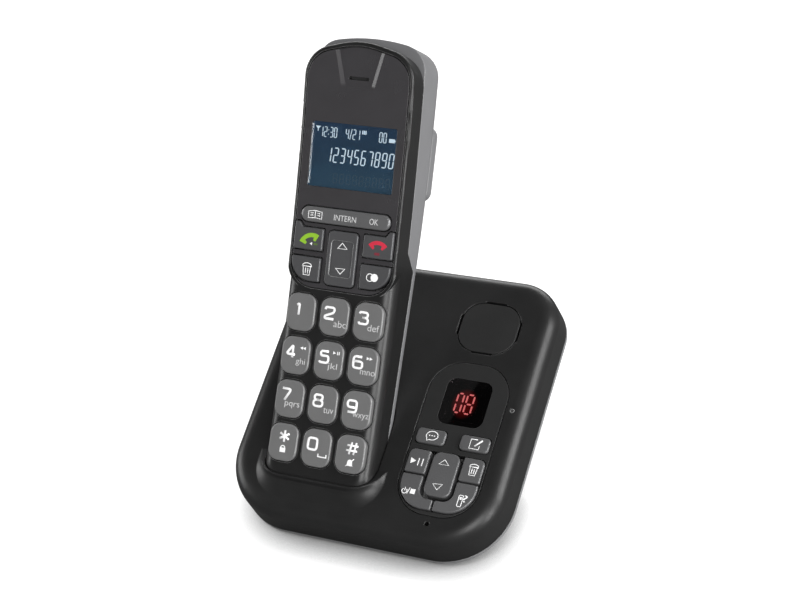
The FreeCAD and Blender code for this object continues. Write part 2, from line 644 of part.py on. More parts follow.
def top_shell(openings):
    """Black upper shell: slab, pocket, collar, seats and screw bosses."""
    outer = prism("slab_outer", base_plan("0"), "-slab_height", "0", top="slab_edge",
                  draft="-slab_draft")
    inner = prism("slab_inner", base_plan("base_wall"), "-slab_height", "-top_wall",
                  top="slab_edge - base_wall", draft="-slab_draft")
    hollow = cut("slab_shell", outer, [inner])
    liner = cut("pocket_liner", pocket_form("pocket_outer", "pocket_gap + pocket_wall", f"{FAR}"),
                [block("liner_trim", FAR * 4, FAR * 4, FAR, shift("0", "0", "-1"))])
    panel_seat = panel_form("panel_seat", "seat_rim", "-seat_depth", "-1")
    badge_seat = badge_form("badge_seat", "seat_rim", "-seat_depth", "-1")
    bosses = [cylinder(f"boss_{i}", "boss_radius", "screw_length - flange",
                       shift(f"{side}{SCREW_X}", y, "-slab_height"))
              for i, (side, y) in enumerate(SCREW_SPOTS)]
    solid = fuse("top_shell_solid", [hollow, liner, collar(), panel_seat, badge_seat] + bosses)
    cuts = [pocket_form("pocket", "pocket_gap", f"{LONG}"), openings]
    cuts.append(panel_form("panel_recess", "seat_gap", "-inlay", PROUD))
    cuts.append(badge_form("badge_recess", "seat_gap", "-inlay", PROUD))
    cuts.append(badge_form("sound_hole", "(-badge_ledge)", DEEP, PROUD))
    cuts.append(prism("counter_hole", rect("counter_width + 2 * key_gap", "counter_length + 2 * key_gap",
                                           "1", "panel_x", "window_y"), DEEP, PROUD))
    for name, width, length, x, y in (
            ("slit_top", "slit_length", "slit_width", "panel_x", "badge_y + badge_length / 2"),
            ("slit_low", "slit_length", "slit_width", "panel_x", "badge_y - badge_length / 2"),
            ("slit_left", "slit_width", "slit_length", "panel_x - badge_width / 2", "badge_y"),
            ("slit_right", "slit_width", "slit_length", "panel_x + badge_width / 2", "badge_y")):
        cuts.append(prism(name, rect(width, length, "slit_width / 2.5", x, y), DEEP, PROUD))
    cuts.append(cylinder("light_hole", "light_radius + lens_gap", "12", shift("light_x", "light_y", DEEP)))
    cuts.append(cylinder("voice_hole_base", "voice_hole", "12", shift("panel_x", "voice_y", DEEP)))
    for i, (side, y) in enumerate(SCREW_SPOTS):
        cuts.append(cylinder(f"thread_{i}", "screw_radius + thread_fit", "screw_length",
                             shift(f"{side}{SCREW_X}", y, "-slab_height - 1")))
    for name, side in SIDES:
        place = shift(f"{side}contact_x", "-tail - 2", "contact_z - 0.2 - contact_width / 2")
        cuts.append(block(f"contact_slot_{name}", "contact_width + 0.4", "4", "contact_width + 0.4",
                          CRADLE, place))
    return piece(cut("top_shell", solid, cuts), "base_top_shell", SLAB)


def bottom_shell():
    """Grey lower shell: a thin rim under the top shell and a wedge foot cut off level at the table."""
    def ring(inset, drop, corner):
        side = f"({FOOT_SIDE} - {inset} - {drop} * tan(foot_draft))"
        front = f"-({FOOT_BACK} - {inset})"
        back = f"({FOOT_BACK} - {inset} - {drop} * tan(tilt))"
        return [(f"-{side}", front, corner), (side, front, corner),
                (side, back, corner), (f"-{side}", back, corner)]
    rim = put(prism("rim", base_plan("0"), f"-{FOOT_TOP} - flange", f"-{FOOT_TOP}"), SLAB)
    low = f"-{FOOT_TOP} - foot_reach"
    outside = put(loft("foot_outside", (ring("0", "foot_reach", "foot_corner * 0.6"), low),
                       (ring("0", "0", "foot_corner"), f"-{FOOT_TOP}")), SLAB)
    inside = put(loft("foot_inside", (ring("base_wall", "foot_reach", "foot_corner * 0.6 - base_wall"), low),
                      (ring("base_wall", "0", "foot_corner - base_wall"), f"-{FOOT_TOP} + 1")), SLAB)
    above = block("above_table", LONG * 2, LONG * 2, LONG, shift("0", "0", "feet_height"))
    higher = block("above_floor", LONG * 2, LONG * 2, LONG, shift("0", "0", "feet_height + base_wall"))
    solid = fuse("bottom_solid", [rim, common("foot_solid", [outside, above])])
    cuts = [common("foot_hollow", [inside, higher])]
    for name, side in SIDES:
        cuts.append(block(f"jack_hole_{name}", "jack_width + 2 * lens_gap", "12",
                          "jack_height + 2 * lens_gap", TABLE,
                          shift(f"{side}jack_x", BACK_WALL, "jack_z - jack_height / 2 - lens_gap")))
    for i, (side, y) in enumerate(SCREW_SPOTS):
        cuts.append(cylinder(f"screw_way_{i}", "screw_radius + 0.25", "8",
                             SLAB, shift(f"{side}{SCREW_X}", y, f"-{FOOT_TOP} - 4")))
    return piece(cut("bottom_shell", solid, cuts), "base_bottom_shell")


# ---------------------------------------------------------------- keys
def key(label, corners, lips, *places, dish=None):
    """Key cap with lips at its lower edge, each (width, length, corner, x, y), and an inner recess."""
    cap = prism(label + "_cap", corners, "-key_depth", "key_rise", top="key_edge")
    rims = [prism(f"{label}_lip_{i}", rect(*lip), "-key_depth", "lip_depth - key_depth")
            for i, lip in enumerate(lips)]
    made = fuse(label + "_form", [cap] + rims)
    if dish:
        made = cut(label + "_dished", made, [prism(label + "_dish", dish, "key_rise - dish_depth", PROUD)])
    return piece(made, label, *places)


def plain_key(label, width, length, corner, x, y, *places, dish=None):
    """Rounded rectangular key with a lip along its lower and upper edge."""
    lip = (f"{width} - 2", f"{length} + 2 * lip", "lip / 2", x, y)
    return key(label, rect(width, length, corner, x, y), [lip], *places, dish=dish)


# ---------------------------------------------------------------- base: controls
def base_controls(openings):
    """Inlaid panel, counter window and display, badge, keys, rocker and status light."""
    plate = panel_form("panel_plate", "0", "-inlay", "0")
    view = window_form("window_hole", "lens_gap", DEEP, PROUD)
    piece(cut("panel", plate, [openings, view]), "control_panel", SLAB)
    piece(window_form("led_window", "0", "-inlay", "0"), "led_window", SLAB)
    piece(prism("led_display", rect("counter_width", "counter_length", "0.6", "panel_x", "window_y"),
                "-board_depth", "-inlay - 0.2"), "led_display", SLAB)
    piece(badge_form("speaker_badge", "0", "-inlay", "0", top="0.3"), "speaker_badge", SLAB)
    for label, side in (("announcement_key", "-"), ("memo_key", "")):
        plain_key(label, "top_key_width", "top_key_length", "top_key_corner",
                  f"panel_x + ({side}top_key_out)", "top_key_y", SLAB)
    volume = rect("volume_width", "volume_length", "volume_corner", "panel_x", "volume_y")
    piece(prism("volume_rocker", volume, "-key_depth", "key_rise", top="key_edge"), "volume_rocker", SLAB)
    upper = [("-wrap_half", "wrap_split + key_split / 2", "small_corner"),
             ("-wrap_inner", "wrap_split + key_split / 2", "small_corner"),
             ("-wrap_inner", "wrap_top", "small_corner"), ("-wrap_half", "wrap_top", "wrap_shoulder")]
    lower = [("-wrap_half", "wrap_bottom", "wrap_corner"), ("-key_split / 2", "wrap_bottom", "small_corner"),
             ("-key_split / 2", "wrap_floor", "small_corner"), ("-wrap_inner", "wrap_floor", "wrap_bend"),
             ("-wrap_inner", "wrap_split - key_split / 2", "small_corner"),
             ("-wrap_half", "wrap_split - key_split / 2", "small_corner")]
    for label, side, corners in (("play_key", "-", upper), ("delete_key", "", mirrored(upper))):
        lip = ("2 * lip", "wrap_lip", "0", f"panel_x + ({side}wrap_half)", "(wrap_split + wrap_top) / 2")
        key(label, moved(corners, "panel_x"), [lip], SLAB)
    for label, side, corners in (("stop_key", "-", lower), ("find_key", "", mirrored(lower))):
        lips = [("2 * lip", "wrap_lip", "0", f"panel_x + ({side}wrap_half)", "wrap_split - 2"),
                ("wrap_foot_lip", "2 * lip", "0", f"panel_x + ({side}wrap_foot_lip)", "wrap_bottom")]
        key(label, moved(corners, "panel_x"), lips, SLAB)
    place = shift("light_x", "light_y", "-board_depth")
    piece(cylinder("status_light", "light_radius", "board_depth", SLAB, place), "status_light")


def base_inside():
    """Board, mat, loudspeaker, microphone, contacts and sockets of the base."""
    edge = "(handset_x + handset_width / 2 + pocket_gap + pocket_wall + board_clear)"
    corners = [(edge, "-board_end", "2"), ("board_side", "-board_end", "base_corner - 4"),
               ("board_side", "board_end", "base_corner - 4"),
               ("-board_side", "board_end", "base_corner - 4"),
               ("-board_side", "board_wing", "3"), (edge, "board_wing", "3")]
    sheet = prism("board_sheet", corners, "-board_depth - board", "-board_depth")
    hole = cylinder("speaker_hole", "speaker_radius + 0.6", "9",
                    shift("panel_x", "badge_y", "-board_depth - 4"))
    piece(cut("base_board", sheet, [hole]), "base_circuit_board", SLAB)

    corners = rect("2 * wrap_half - 1", "wrap_top - wrap_bottom + 10", "4", "panel_x",
                   "(wrap_top + wrap_bottom) / 2 + 4.6")
    piece(prism("mat_sheet", corners, "-board_depth", "-key_depth - dome_gap"), "base_key_mat", SLAB)

    spot = ("panel_x", "badge_y")
    low = "-seat_depth - 0.1 - speaker_depth"
    basket = cylinder("basket", "speaker_radius", "speaker_depth", shift(*spot, low))
    magnet = cylinder("magnet", "magnet_radius", "magnet_depth", shift(*spot, f"{low} - magnet_depth"))
    cones = [cone(name, f"cone_throat - {less}", f"cone_radius - {less}", "speaker_depth - 0.6",
                  shift(*spot, f"{low} + 0.6 + {lift}"))
             for name, less, lift in (("basket_bowl", "0", "0"), ("cone_outside", "0.1", "0"),
                                      ("cone_inside", "(cone_wall + 0.1)", "cone_wall"))]
    frame_part = cut("basket_frame", fuse("basket_solid", [basket, magnet]), cones[:1])
    paper = cut("paper_cone", cones[1], cones[2:])
    piece(group("loudspeaker", [frame_part, paper]), "loudspeaker", SLAB)
    piece(cylinder("base_voice", "voice_radius", "board_depth - top_wall - 1.7", SLAB,
                   shift("panel_x", "voice_y", "-board_depth")), "base_microphone")

    strips = []
    for name, side in SIDES:
        tip = block(f"contact_tip_{name}", "contact_width", "contact_tip", "contact_width",
                    shift(f"{side}contact_x", "-tail - pocket_gap + 0.2 - contact_tip / 2",
                          "contact_z - contact_width / 2"))
        leaf = block(f"contact_leaf_{name}", "contact_width", "contact_strip", "contact_leaf",
                     shift(f"{side}contact_x", "-tail - pocket_gap + 0.4 - contact_tip",
                           "contact_z + contact_width / 2 - contact_leaf"))
        strips.append(fuse(f"contact_{name}", [tip, leaf]))
    piece(group("contacts", strips), "charging_contacts", HANDSET)

    for label, side in (("power_jack", "-"), ("line_jack", "")):
        body = block(label + "_body", "jack_width", "jack_depth", "jack_height",
                     shift(f"{side}jack_x", f"{BACK_WALL} - jack_depth / 2", "jack_z - jack_height / 2"))
        plate = block(label + "_flange", "jack_width + 2 * flange_rim", "jack_flange",
                      "jack_height + 2 * flange_rim",
                      shift(f"{side}jack_x", f"{BACK_WALL} - base_wall - 0.2 - jack_flange / 2",
                            "jack_z - jack_height / 2 - flange_rim"))
        socket = block(label + "_socket", "socket_width", "socket_depth * 2", "socket_height",
                       shift(f"{side}jack_x", BACK_WALL, "jack_z - socket_height / 2"))
        latch = block(label + "_latch", "latch_width", "socket_depth * 2", "latch_depth + 0.5",
                      shift(f"{side}jack_x", BACK_WALL, "jack_z + socket_height / 2 - 0.5"))
        piece(cut(label, fuse(label + "_solid", [body, plate]), [socket, latch]), label, TABLE)


def base_fasteners():
    """Four screws through the rim and four rubber feet."""
    screws = []
    for i, (side, y) in enumerate(SCREW_SPOTS):
        x = f"{side}{SCREW_X}"
        low = f"-{FOOT_TOP} - flange"
        shaft = cylinder(f"screw_shaft_{i}", "screw_radius", "screw_length", shift(x, y, low))
        end = shift(x, y, f"{low} - cap_height")
        head = cylinder(f"screw_cap_{i}", "screw_head", "cap_height", end)
        slot = block(f"screw_slot_{i}", "drive_width", "drive_span", "drive_depth", end)
        cross = block(f"screw_cross_{i}", "drive_span", "drive_width", "drive_depth", end)
        screws.append(cut(f"screw_{i}", fuse(f"screw_solid_{i}", [shaft, head]), [slot, cross]))
    piece(group("screws", screws), "base_screws", SLAB)
    front_x = f"({FOOT_SIDE} - feet_radius - 2 * feet_margin)"
    back_x = f"({FOOT_SIDE} - {BACK_DROP} * cos(tilt) * tan(foot_draft) - feet_radius - feet_margin)"
    feet = []
    for name, side in SIDES:
        for row, x, y in (("front", front_x, f"{FRONT_WALL} + feet_radius + feet_margin"),
                          ("back", back_x, f"{BACK_WALL} - feet_radius - feet_margin")):
            feet.append(cylinder(f"foot_{row}_{name}", "feet_radius", "feet_height",
                                 shift(f"{side}{x}", y, "0")))
    piece(group("feet", feet), "rubber_feet", TABLE)


# ---------------------------------------------------------------- handset: forms
def below_face(name, depth):
    """Everything behind a surface that lies a depth below the hollow face."""
    arc = ("0", "face_radius", f"face_radius + {depth}")
    loop = [(f"-{FAR}", f"-({depth})", arc), (f"{LONG}", f"{LONG / 8}", None),
            (f"{LONG}", f"-{FAR}", None), (f"-{FAR}", f"-{FAR}", None)]
    return slice_of(name, [loop], "40")


def above_parting(name, gap):
    """Everything in front of the parting surface between the handset's shells."""
    arc = ("0", "face_radius", f"face_radius + split_upper + {gap}")
    low = f"-(split_lower + {gap})"
    loop = [(f"-{FAR}", low, None), ("step_low", low, None), ("step_high", "-split_upper / 2", arc),
            (f"{LONG}", f"{LONG / 8}", None), (f"{LONG}", f"{FAR}", None), (f"-{FAR}", f"{FAR}", None)]
    return slice_of(name, [loop], "40")


def head_corners(half, top, bow, corner, slope):
    """Right, middle and left upper corner of an outline whose upper end is bowed."""
    apex = f"({top} + ({bow}) * (1 / cos({slope}) - 1))"
    shoulder = f"({apex} - {half} * tan({slope}))"
    return [(half, shoulder, corner), ("0", apex, bow), (f"-{half}", shoulder, corner)]


def handset_form(name, side, face, back, front_round, rear_round, head="crown"):
    """The handset's whole form, set in by given amounts at its sides, face and back."""
    body = DOC.addObject("PartDesign::Body", name)
    half = f"(handset_width / 2 - {side})"
    low, tail = f"-(tail - {side})", f"tail_corner - {side}"
    end = head_corners(half, f"({head} - {side})", f"{head}_bow - {side}", f"{head}_corner - {side}",
                       f"{head}_slope")
    plan = [(f"-{half}", low, tail), (half, low, tail)] + end
    pad = body.newObject("PartDesign::Pad", name + "_pad")
    pad.Profile = outline(body, plan, offset=f"-{FAR}")
    pad.Length = 2 * FAR
    face_arc = ("0", "face_radius", f"face_radius + {face}")
    back_arc = ("straight_end", "back_radius - body_depth", f"back_radius - {back}")
    rear = f"-(body_depth - {back})"
    front = [(f"-{FAR}", "1", face_arc), (f"{LONG}", "20", None),
             (f"{LONG}", f"{2 * FAR}", None), (f"-{FAR}", f"{2 * FAR}", None)]
    behind = [(f"-{FAR}", f"-{2 * FAR}", None), (f"{LONG}", f"-{2 * FAR}", None), (f"{LONG}", "0", back_arc),
              ("straight_end", rear, None), (f"-{FAR}", rear, None)]
    pocket = body.newObject("PartDesign::Pocket", name + "_sides")
    pocket.Profile = profile(body, "profile", [front, behind], "0")
    pocket.Type = "ThroughAll"
    pocket.SideType = "Symmetric"

    def on_front(edge):
        radius = worth(face_arc[2])
        ends = [point for point in edge.discretize(5)]
        return all(abs(math.hypot(p.y, p.z - worth("face_radius")) - radius) < 1e-3 for p in ends)

    def on_rear(edge):
        straight, bend = worth("straight_end"), worth(back_arc[2])
        offs = [abs(p.z - worth(rear)) if p.y < straight else
                abs(math.hypot(p.y - straight, p.z - worth(back_arc[1])) - bend) for p in edge.discretize(5)]
        return max(offs) < 1e-3 and not level_line(edge, straight)

    def level_line(edge, y):
        return all(abs(point.y - y) < 1e-3 for point in edge.discretize(3))

    rounded(body, rounded(body, pocket, on_front, front_round), on_rear, rear_round)
    return body


# ---------------------------------------------------------------- handset: outlines on the face
def call_outline(grow, outer):
    """Call key seen from the front, about the cluster's centre; its outer top corner is peaked."""
    return [(f"-({outer})", f"call_low - {grow}", "small_corner"),
            (f"-cluster_inner + {grow}", f"call_low - {grow}", "small_corner"),
            (f"-cluster_inner + {grow}", f"call_high + {grow}", "small_corner"),
            (f"-cluster_outer + peak_run + peak_slope + {grow}", f"call_high + {grow}", "small_corner"),
            (f"-cluster_outer + peak_run + {grow}", f"call_peak + {grow}", "small_corner"),
            (f"-({outer})", f"call_peak + {grow}", "small_corner")]


def erase_outline(grow, outer):
    """Erase key seen from the front; its outer lower corner follows the fascia."""
    return [(f"-({outer})", f"erase_low - {grow}", "erase_corner"),
            (f"-cluster_inner + {grow}", f"erase_low - {grow}", "small_corner"),
            (f"-cluster_inner + {grow}", f"erase_high + {grow}", "small_corner"),
            (f"-({outer})", f"erase_high + {grow}", "small_corner")]


KEY_ROWS = (("star", "0", "hash"), ("7", "8", "9"), ("4", "5", "6"), ("1", "2", "3"))
DIGITS = [(f"key_{name}", column, row) for row, names in enumerate(KEY_ROWS)
          for column, name in enumerate(names, start=-1)]
CLUSTER = on_face("0", "cluster_y")
FACE_KEYS = [("call_key", call_outline, False), ("end_key", call_outline, True),
             ("erase_key", erase_outline, False), ("redial_key", erase_outline, True)]


def handset_keys():
    for label, column, row in DIGITS:
        plain_key(label, "digit_width", "digit_length", "digit_corner", "0", "0", HANDSET,
                  on_face(f"{column} * column_pitch", f"{row} * row_pitch"))
    for label, shape, right in FACE_KEYS:
        corners = shape("0", "cluster_outer")
        lip_x = "cluster_inner + 3" if right else "-cluster_inner - 3"
        lip_y = "erase_low" if shape is erase_outline else "call_high"
        key(label, mirrored(corners) if right else corners, [("4", "2 * lip", "0", lip_x, lip_y)],
            HANDSET, CLUSTER)
    plain_key("navigation_rocker", "rocker_width", "rocker_length", "rocker_corner", "0", "0",
              HANDSET, CLUSTER, dish=rect("dish_width", "dish_length", "dish_corner"))
    plain_key("softkey_bar", "bar_width", "bar_length", "(bar_length / 2 - 0.01)", "0", "0",
              HANDSET, on_face("0", "bar_y"))


def cluster_openings(name, outer):
    """Openings for the function keys, the rocker and the bar; the outer edge can run off the fascia."""
    made = []
    for label, shape, right in FACE_KEYS:
        corners = shape("key_gap", outer)
        hole = prism(f"{name}_{label}", mirrored(corners) if right else corners, DEEP, PROUD)
        made.append(put(hole, CLUSTER))
    rocker = rect("rocker_width + 2 * key_gap", "rocker_length + 2 * key_gap", "rocker_corner + key_gap")
    bar = rect("bar_width + 2 * key_gap", "bar_length + 2 * key_gap", "bar_length / 2")
    ear = rect("ear_width", "ear_height", "ear_height / 2 - 0.01")
    for label, corners, y in (("rocker", rocker, "cluster_y"), ("bar", bar, "bar_y"), ("ear", ear, "ear_y")):
        made.append(put(prism(f"{name}_{label}", corners, DEEP, PROUD), on_face("0", y)))
    return made


def posts(name, radius, low_span, high_span):
    """Four upright cylinders at the screw places: (start, height) of the lower and the upper pair."""
    made = []
    for end, (start, height) in (("low", low_span), ("high", high_span)):
        for hand, side in SIDES:
            place = shift(f"{side}{end}_post_x", f"{end}_post_y", start)
            made.append(cylinder(f"{name}_{end}_{hand}", radius, height, place))
    return made


HIGH_FACE = "(high_post_y * high_post_y / face_radius / 2)"
HIGH_RUN = "(high_post_y - straight_end)"
HIGH_BACK = f"({HIGH_RUN} * {HIGH_RUN} / back_radius / 2 - body_depth)"
LOW_JOIN = "(-split_lower)"
HIGH_JOIN = f"({HIGH_FACE} - split_upper)"


SCREEN = on_face("0", "screen_y")
HUMP = on_back("0", "hump_y")


def handset_shells():
    """Front housing, rear housing, fascia and battery cover."""
    lower = handset_form("form_lower", "0", "0", "0", "side_round", "back_round")
    upper = handset_form("form_upper", "0", "0", "0", "rim_round", "back_round")
    hollow = handset_form("form_hollow", "handset_wall", "face_wall", "handset_wall", "2.5",
                          "back_round - handset_wall")
    rim = "((handset_width - fascia_width) / 2)"
    shoulder = [("-handset_width / 2", f"fascia_foot - {rim}", f"fascia_bend + {rim}"),
                ("handset_width / 2", f"fascia_foot - {rim}", f"fascia_bend + {rim}"),
                ("handset_width / 2", f"{LONG}", "0"), ("-handset_width / 2", f"{LONG}", "0")]
    raised = common("raised_rim", [upper, prism("shoulder", shoulder, "-5", f"{FAR}")])
    outer = fuse("handset_outer", [lower, raised])

    def fascia_corners(grow):
        half = f"(fascia_width / 2 + {grow})"
        low, bend = f"fascia_foot - {grow}", f"fascia_bend + {grow}"
        head = head_corners(half, f"(fascia_head + {grow})", f"crown_bow - (crown - fascia_head) + {grow}",
                            f"fascia_corner + {grow}", "crown_slope")
        return [(f"-{half}", low, bend), (half, low, bend)] + head

    recess = cut("fascia_recess", prism("recess_block", fascia_corners("fascia_gap"), f"-{FAR}", f"{FAR}"),
                 [below_face("recess_floor", "(fascia + 0.1)")])
    cuts = [hollow, recess]
    for label, column, row in DIGITS:
        hole = prism(label + "_hole", rect("digit_width + 2 * key_gap", "digit_length + 2 * key_gap",
                                           "digit_corner + key_gap"), DEEP, PROUD)
        cuts.append(put(hole, on_face(f"{column} * column_pitch", f"{row} * row_pitch")))
    cuts += cluster_openings("housing", "cluster_outer + key_gap")
    cuts.append(put(prism("screen_opening", rect("screen_width + 1", "screen_length + 1", "1"), DEEP, PROUD),
                    SCREEN))
    for name, side in SIDES:
        place = shift(f"{side}contact_x", "-tail", "contact_z - 1.2 - contact_width / 2")
        cuts.append(block(f"pad_slot_{name}", "contact_width + 2.4", "6", "contact_width + 2.4", place))
    cuts.append(cylinder("voice_hole_handset", "voice_hole", "9", shift("0", "1.5 - tail", "-4")))
    front = common("front_form", [outer, above_parting("front_side", "0")])
    front_shell = cut("front_shell", front, cuts)
    front_posts = posts("front_post", "post_radius", (LOW_JOIN, "split_lower - face_wall / 2"),
                        (HIGH_JOIN, "split_upper - face_wall / 2"))
    front_ways = posts("front_way", "pin_radius + thread_fit", (f"{LOW_JOIN} - 1", "8"),
                       (f"{HIGH_JOIN} - 1", "7"))
    piece(cut("front_housing", fuse("front_with_posts", [front_shell] + front_posts), front_ways),
          "front_housing", HANDSET)

    whole = handset_form("form_rear", "0", "0", "0", "rim_round", "back_round", "brow")
    rear = cut("rear_form", whole, [above_parting("rear_side", "0.15"), hollow])
    ledge = "(cover_inside - body_depth)"
    bay_rim = rect("2 * cover_half + 3", "cover_high - cover_low + 3", "cover_corner + 1.5", "0",
                   "(cover_high + cover_low) / 2")
    bay = "(bay_high + bay_low) / 2"
    adds = [prism("bay_ledge", bay_rim, "handset_wall - body_depth - 0.1", f"{ledge} + ledge"),
            prism("bay_box", rect("2 * (bay_half + ledge)", "bay_high - bay_low + 2 * ledge", "1.5", "0",
                                  bay), ledge, "bay_top + ledge * 0.8")]
    adds += posts("rear_post", "post_radius", ("-body_depth + 1", f"{LOW_JOIN} - 0.2 - (1 - body_depth)"),
                  (f"{HIGH_BACK} + 1", f"{HIGH_JOIN} - 0.2 - ({HIGH_BACK} + 1)"))
    cover_hole = rect("2 * (cover_half + seat_gap)", "cover_high - cover_low + 2 * seat_gap",
                      "cover_corner + seat_gap", "0", "(cover_high + cover_low) / 2")
    takes = [prism("cover_hole", cover_hole, f"-{FAR}", ledge),
             prism("bay_hollow", rect("2 * bay_half", "bay_high - bay_low", "0.6", "0", bay),
                   f"-{FAR}", "bay_top")]
    for name, side in SIDES:
        takes.append(block(f"tab_slot_{name}", "4.8", "5.4", "2.6",
                           shift(f"{side}8", "cover_low + 0.3", f"{ledge} - 0.4")))
    takes += posts("rear_way", "pin_radius + 0.2", ("-body_depth", "body_depth - split_lower"),
                   (HIGH_BACK, f"{HIGH_JOIN} - {HIGH_BACK}"))
    takes += posts("head_way", "pin_head + 0.2", ("-body_depth - 3", "4.6"), (f"{HIGH_BACK} - 3", "4.6"))
    takes.append(put(prism("ringer_hole", rect("14", "14", "6.9"), "-3", "4"), HUMP))
    piece(cut("rear_housing", fuse("rear_with_bay", [rear] + adds), takes), "rear_housing", HANDSET)

    plate = common("fascia_blank", [prism("fascia_block", fascia_corners("0"), f"-{FAR}", f"{FAR}"),
                                    below_face("fascia_top", "0")])
    middle = "((funnel_end + fascia_head) / 2)"

    def funnel_corners(grow):
        foot, bend = f"funnel_end - {middle} - {grow} / 2", f"funnel_bend + {grow} / 2"
        end = f"fascia_head - {middle} + 4"
        return [(f"-funnel_foot - {grow}", foot, bend), (f"funnel_foot + {grow}", foot, bend),
                (f"funnel_top + {grow}", end, "0"), (f"-funnel_top - {grow}", end, "0")]

    funnel = put(loft("funnel_recess", (funnel_corners("0"), "-funnel_depth"),
                      (funnel_corners("(2 * funnel_wall)"), "funnel_depth")), on_face("0", middle))
    screen = put(prism("screen_hole", rect("screen_width + 2 * lens_gap", "screen_length + 2 * lens_gap",
                                           "screen_corner"), DEEP, PROUD), SCREEN)
    piece(cut("fascia_panel", plate, [below_face("fascia_back", "fascia"), funnel, screen]
              + cluster_openings("fascia", "fascia_width / 2 + 1")), "fascia_panel", HANDSET)

    cover = rect("2 * cover_half", "cover_high - cover_low", "cover_corner", "0",
                 "(cover_high + cover_low) / 2")
    skin = common("cover_skin", [lower, prism("cover_block", cover, f"-{FAR}", f"{ledge} - 0.2")])
    tabs = [block(f"cover_tab_{name}", "4", "2.8", "1.2",
                  shift(f"{side}8", "cover_low - 0.2", f"{ledge} - 0.3")) for name, side in SIDES]
    piece(fuse("battery_cover", [skin] + tabs), "battery_cover", HANDSET)
    return whole


# ---------------------------------------------------------------- handset: inside
CHORD = "atan((circuit_end + mat_low) / face_radius / 2)"
CHORD_START = "(mat_low * mat_low / face_radius / 2)"
SAG = "((circuit_end - mat_low) * (circuit_end - mat_low) / face_radius / 8)"


def handset_inside():
    """Board, mat, display, earpiece, cells with their contacts, charging pads and microphone."""
    top = shift("0", "mat_low", f"{CHORD_START} - {SAG} - circuit_depth", CHORD)
    span = "(circuit_end - mat_low)"
    corners = rect("2 * mat_half", span, "2.5", "0", f"{span} / 2")
    sheet = put(prism("circuit_sheet", corners, "-circuit", "0"), top)
    clear = posts("circuit_way", "post_radius + 0.4", (f"-{FAR}", f"{2 * FAR}"), (f"-{FAR}", f"{2 * FAR}"))
    piece(cut("circuit_board", sheet, clear), "handset_circuit_board", HANDSET)

    span = "(mat_high - mat_low)"
    corners = rect("2 * mat_half", span, "2.5", "0", f"mat_low + {span} / 2")
    mat = common("mat_blank", [prism("mat_block", corners, f"-{FAR}", f"{FAR}"),
                               below_face("mat_top", "(key_depth + dome_gap)")])
    under = block("below_board", FAR * 2, LONG * 2, FAR, top, shift("0", "0", f"-{FAR}"))
    piece(cut("keypad_mat", mat, [under]), "keypad_mat", HANDSET)

    lens = prism("display_window", rect("screen_width", "screen_length", "screen_corner"),
                 "-0.1 - screen_lens", "-0.1")
    piece(lens, "display_window", HANDSET, SCREEN)
    glass = prism("lcd_glass", rect("screen_width + 0.4", "screen_length + 0.4", "0.8"), "-face_wall - 1",
                  "-0.3 - screen_lens")
    back = prism("lcd_back", rect("lcd_width", "lcd_length", "1.2"), "-face_wall - 0.3 - lcd_frame",
                 "-face_wall - 0.3")
    piece(fuse("lcd_module", [glass, back]), "lcd_module", HANDSET, SCREEN)
    piece(cylinder("earpiece", "ear_radius", "ear_depth", HANDSET, on_face("0", "ear_y"),
                   shift("0", "0", "-face_wall - 0.2 - ear_depth")), "earpiece_receiver")

    cells, ends = [], []
    for name, side in SIDES:
        x = f"{side}cell_x"
        turn = shift(x, "(bay_low + bay_high) / 2", "cell_z", "90" if side else "-90")
        can = cylinder(f"cell_can_{name}", "cell_radius", "cell_length - nub", turn,
                       shift("0", "0", "-cell_length / 2"))
        cap = cylinder(f"cell_nub_{name}", "nub_radius", "nub + 0.5", turn,
                       shift("0", "0", "cell_length / 2 - nub - 0.5"))
        cells.append(fuse(f"cell_{name}", [can, cap]))
        for end, reach, nose in (("low", "bay_low + 0.1", "-90"), ("high", "bay_high - 0.1 - plate", "90")):
            sheet = block(f"contact_plate_{end}_{name}", "plate_side", "plate", "plate_side",
                          shift(x, f"{reach} + plate / 2", "cell_z - plate_side / 2"))
            spring = cone(f"contact_spring_{end}_{name}", "spring_foot", "spring_tip", "spring_rise",
                          shift(x, f"{reach} + plate / 2", "cell_z", nose))
            ends.append(fuse(f"contact_end_{end}_{name}", [sheet, spring]))
    piece(group("cells", cells), "batteries", HANDSET)
    piece(group("cell_contacts", ends), "battery_contacts", HANDSET)

    pads = [block(f"pad_{name}", "contact_width + 2", "1.6", "contact_width + 2",
                  shift(f"{side}contact_x", "0.85 - tail", "contact_z - 1 - contact_width / 2"))
            for name, side in SIDES]
    piece(group("pads", pads), "handset_contacts", HANDSET)
    place = shift("0", "handset_wall - tail + voice_radius + 1", "-face_wall - 3.2")
    piece(cylinder("handset_voice", "voice_radius", "2.6", HANDSET, place), "handset_microphone")


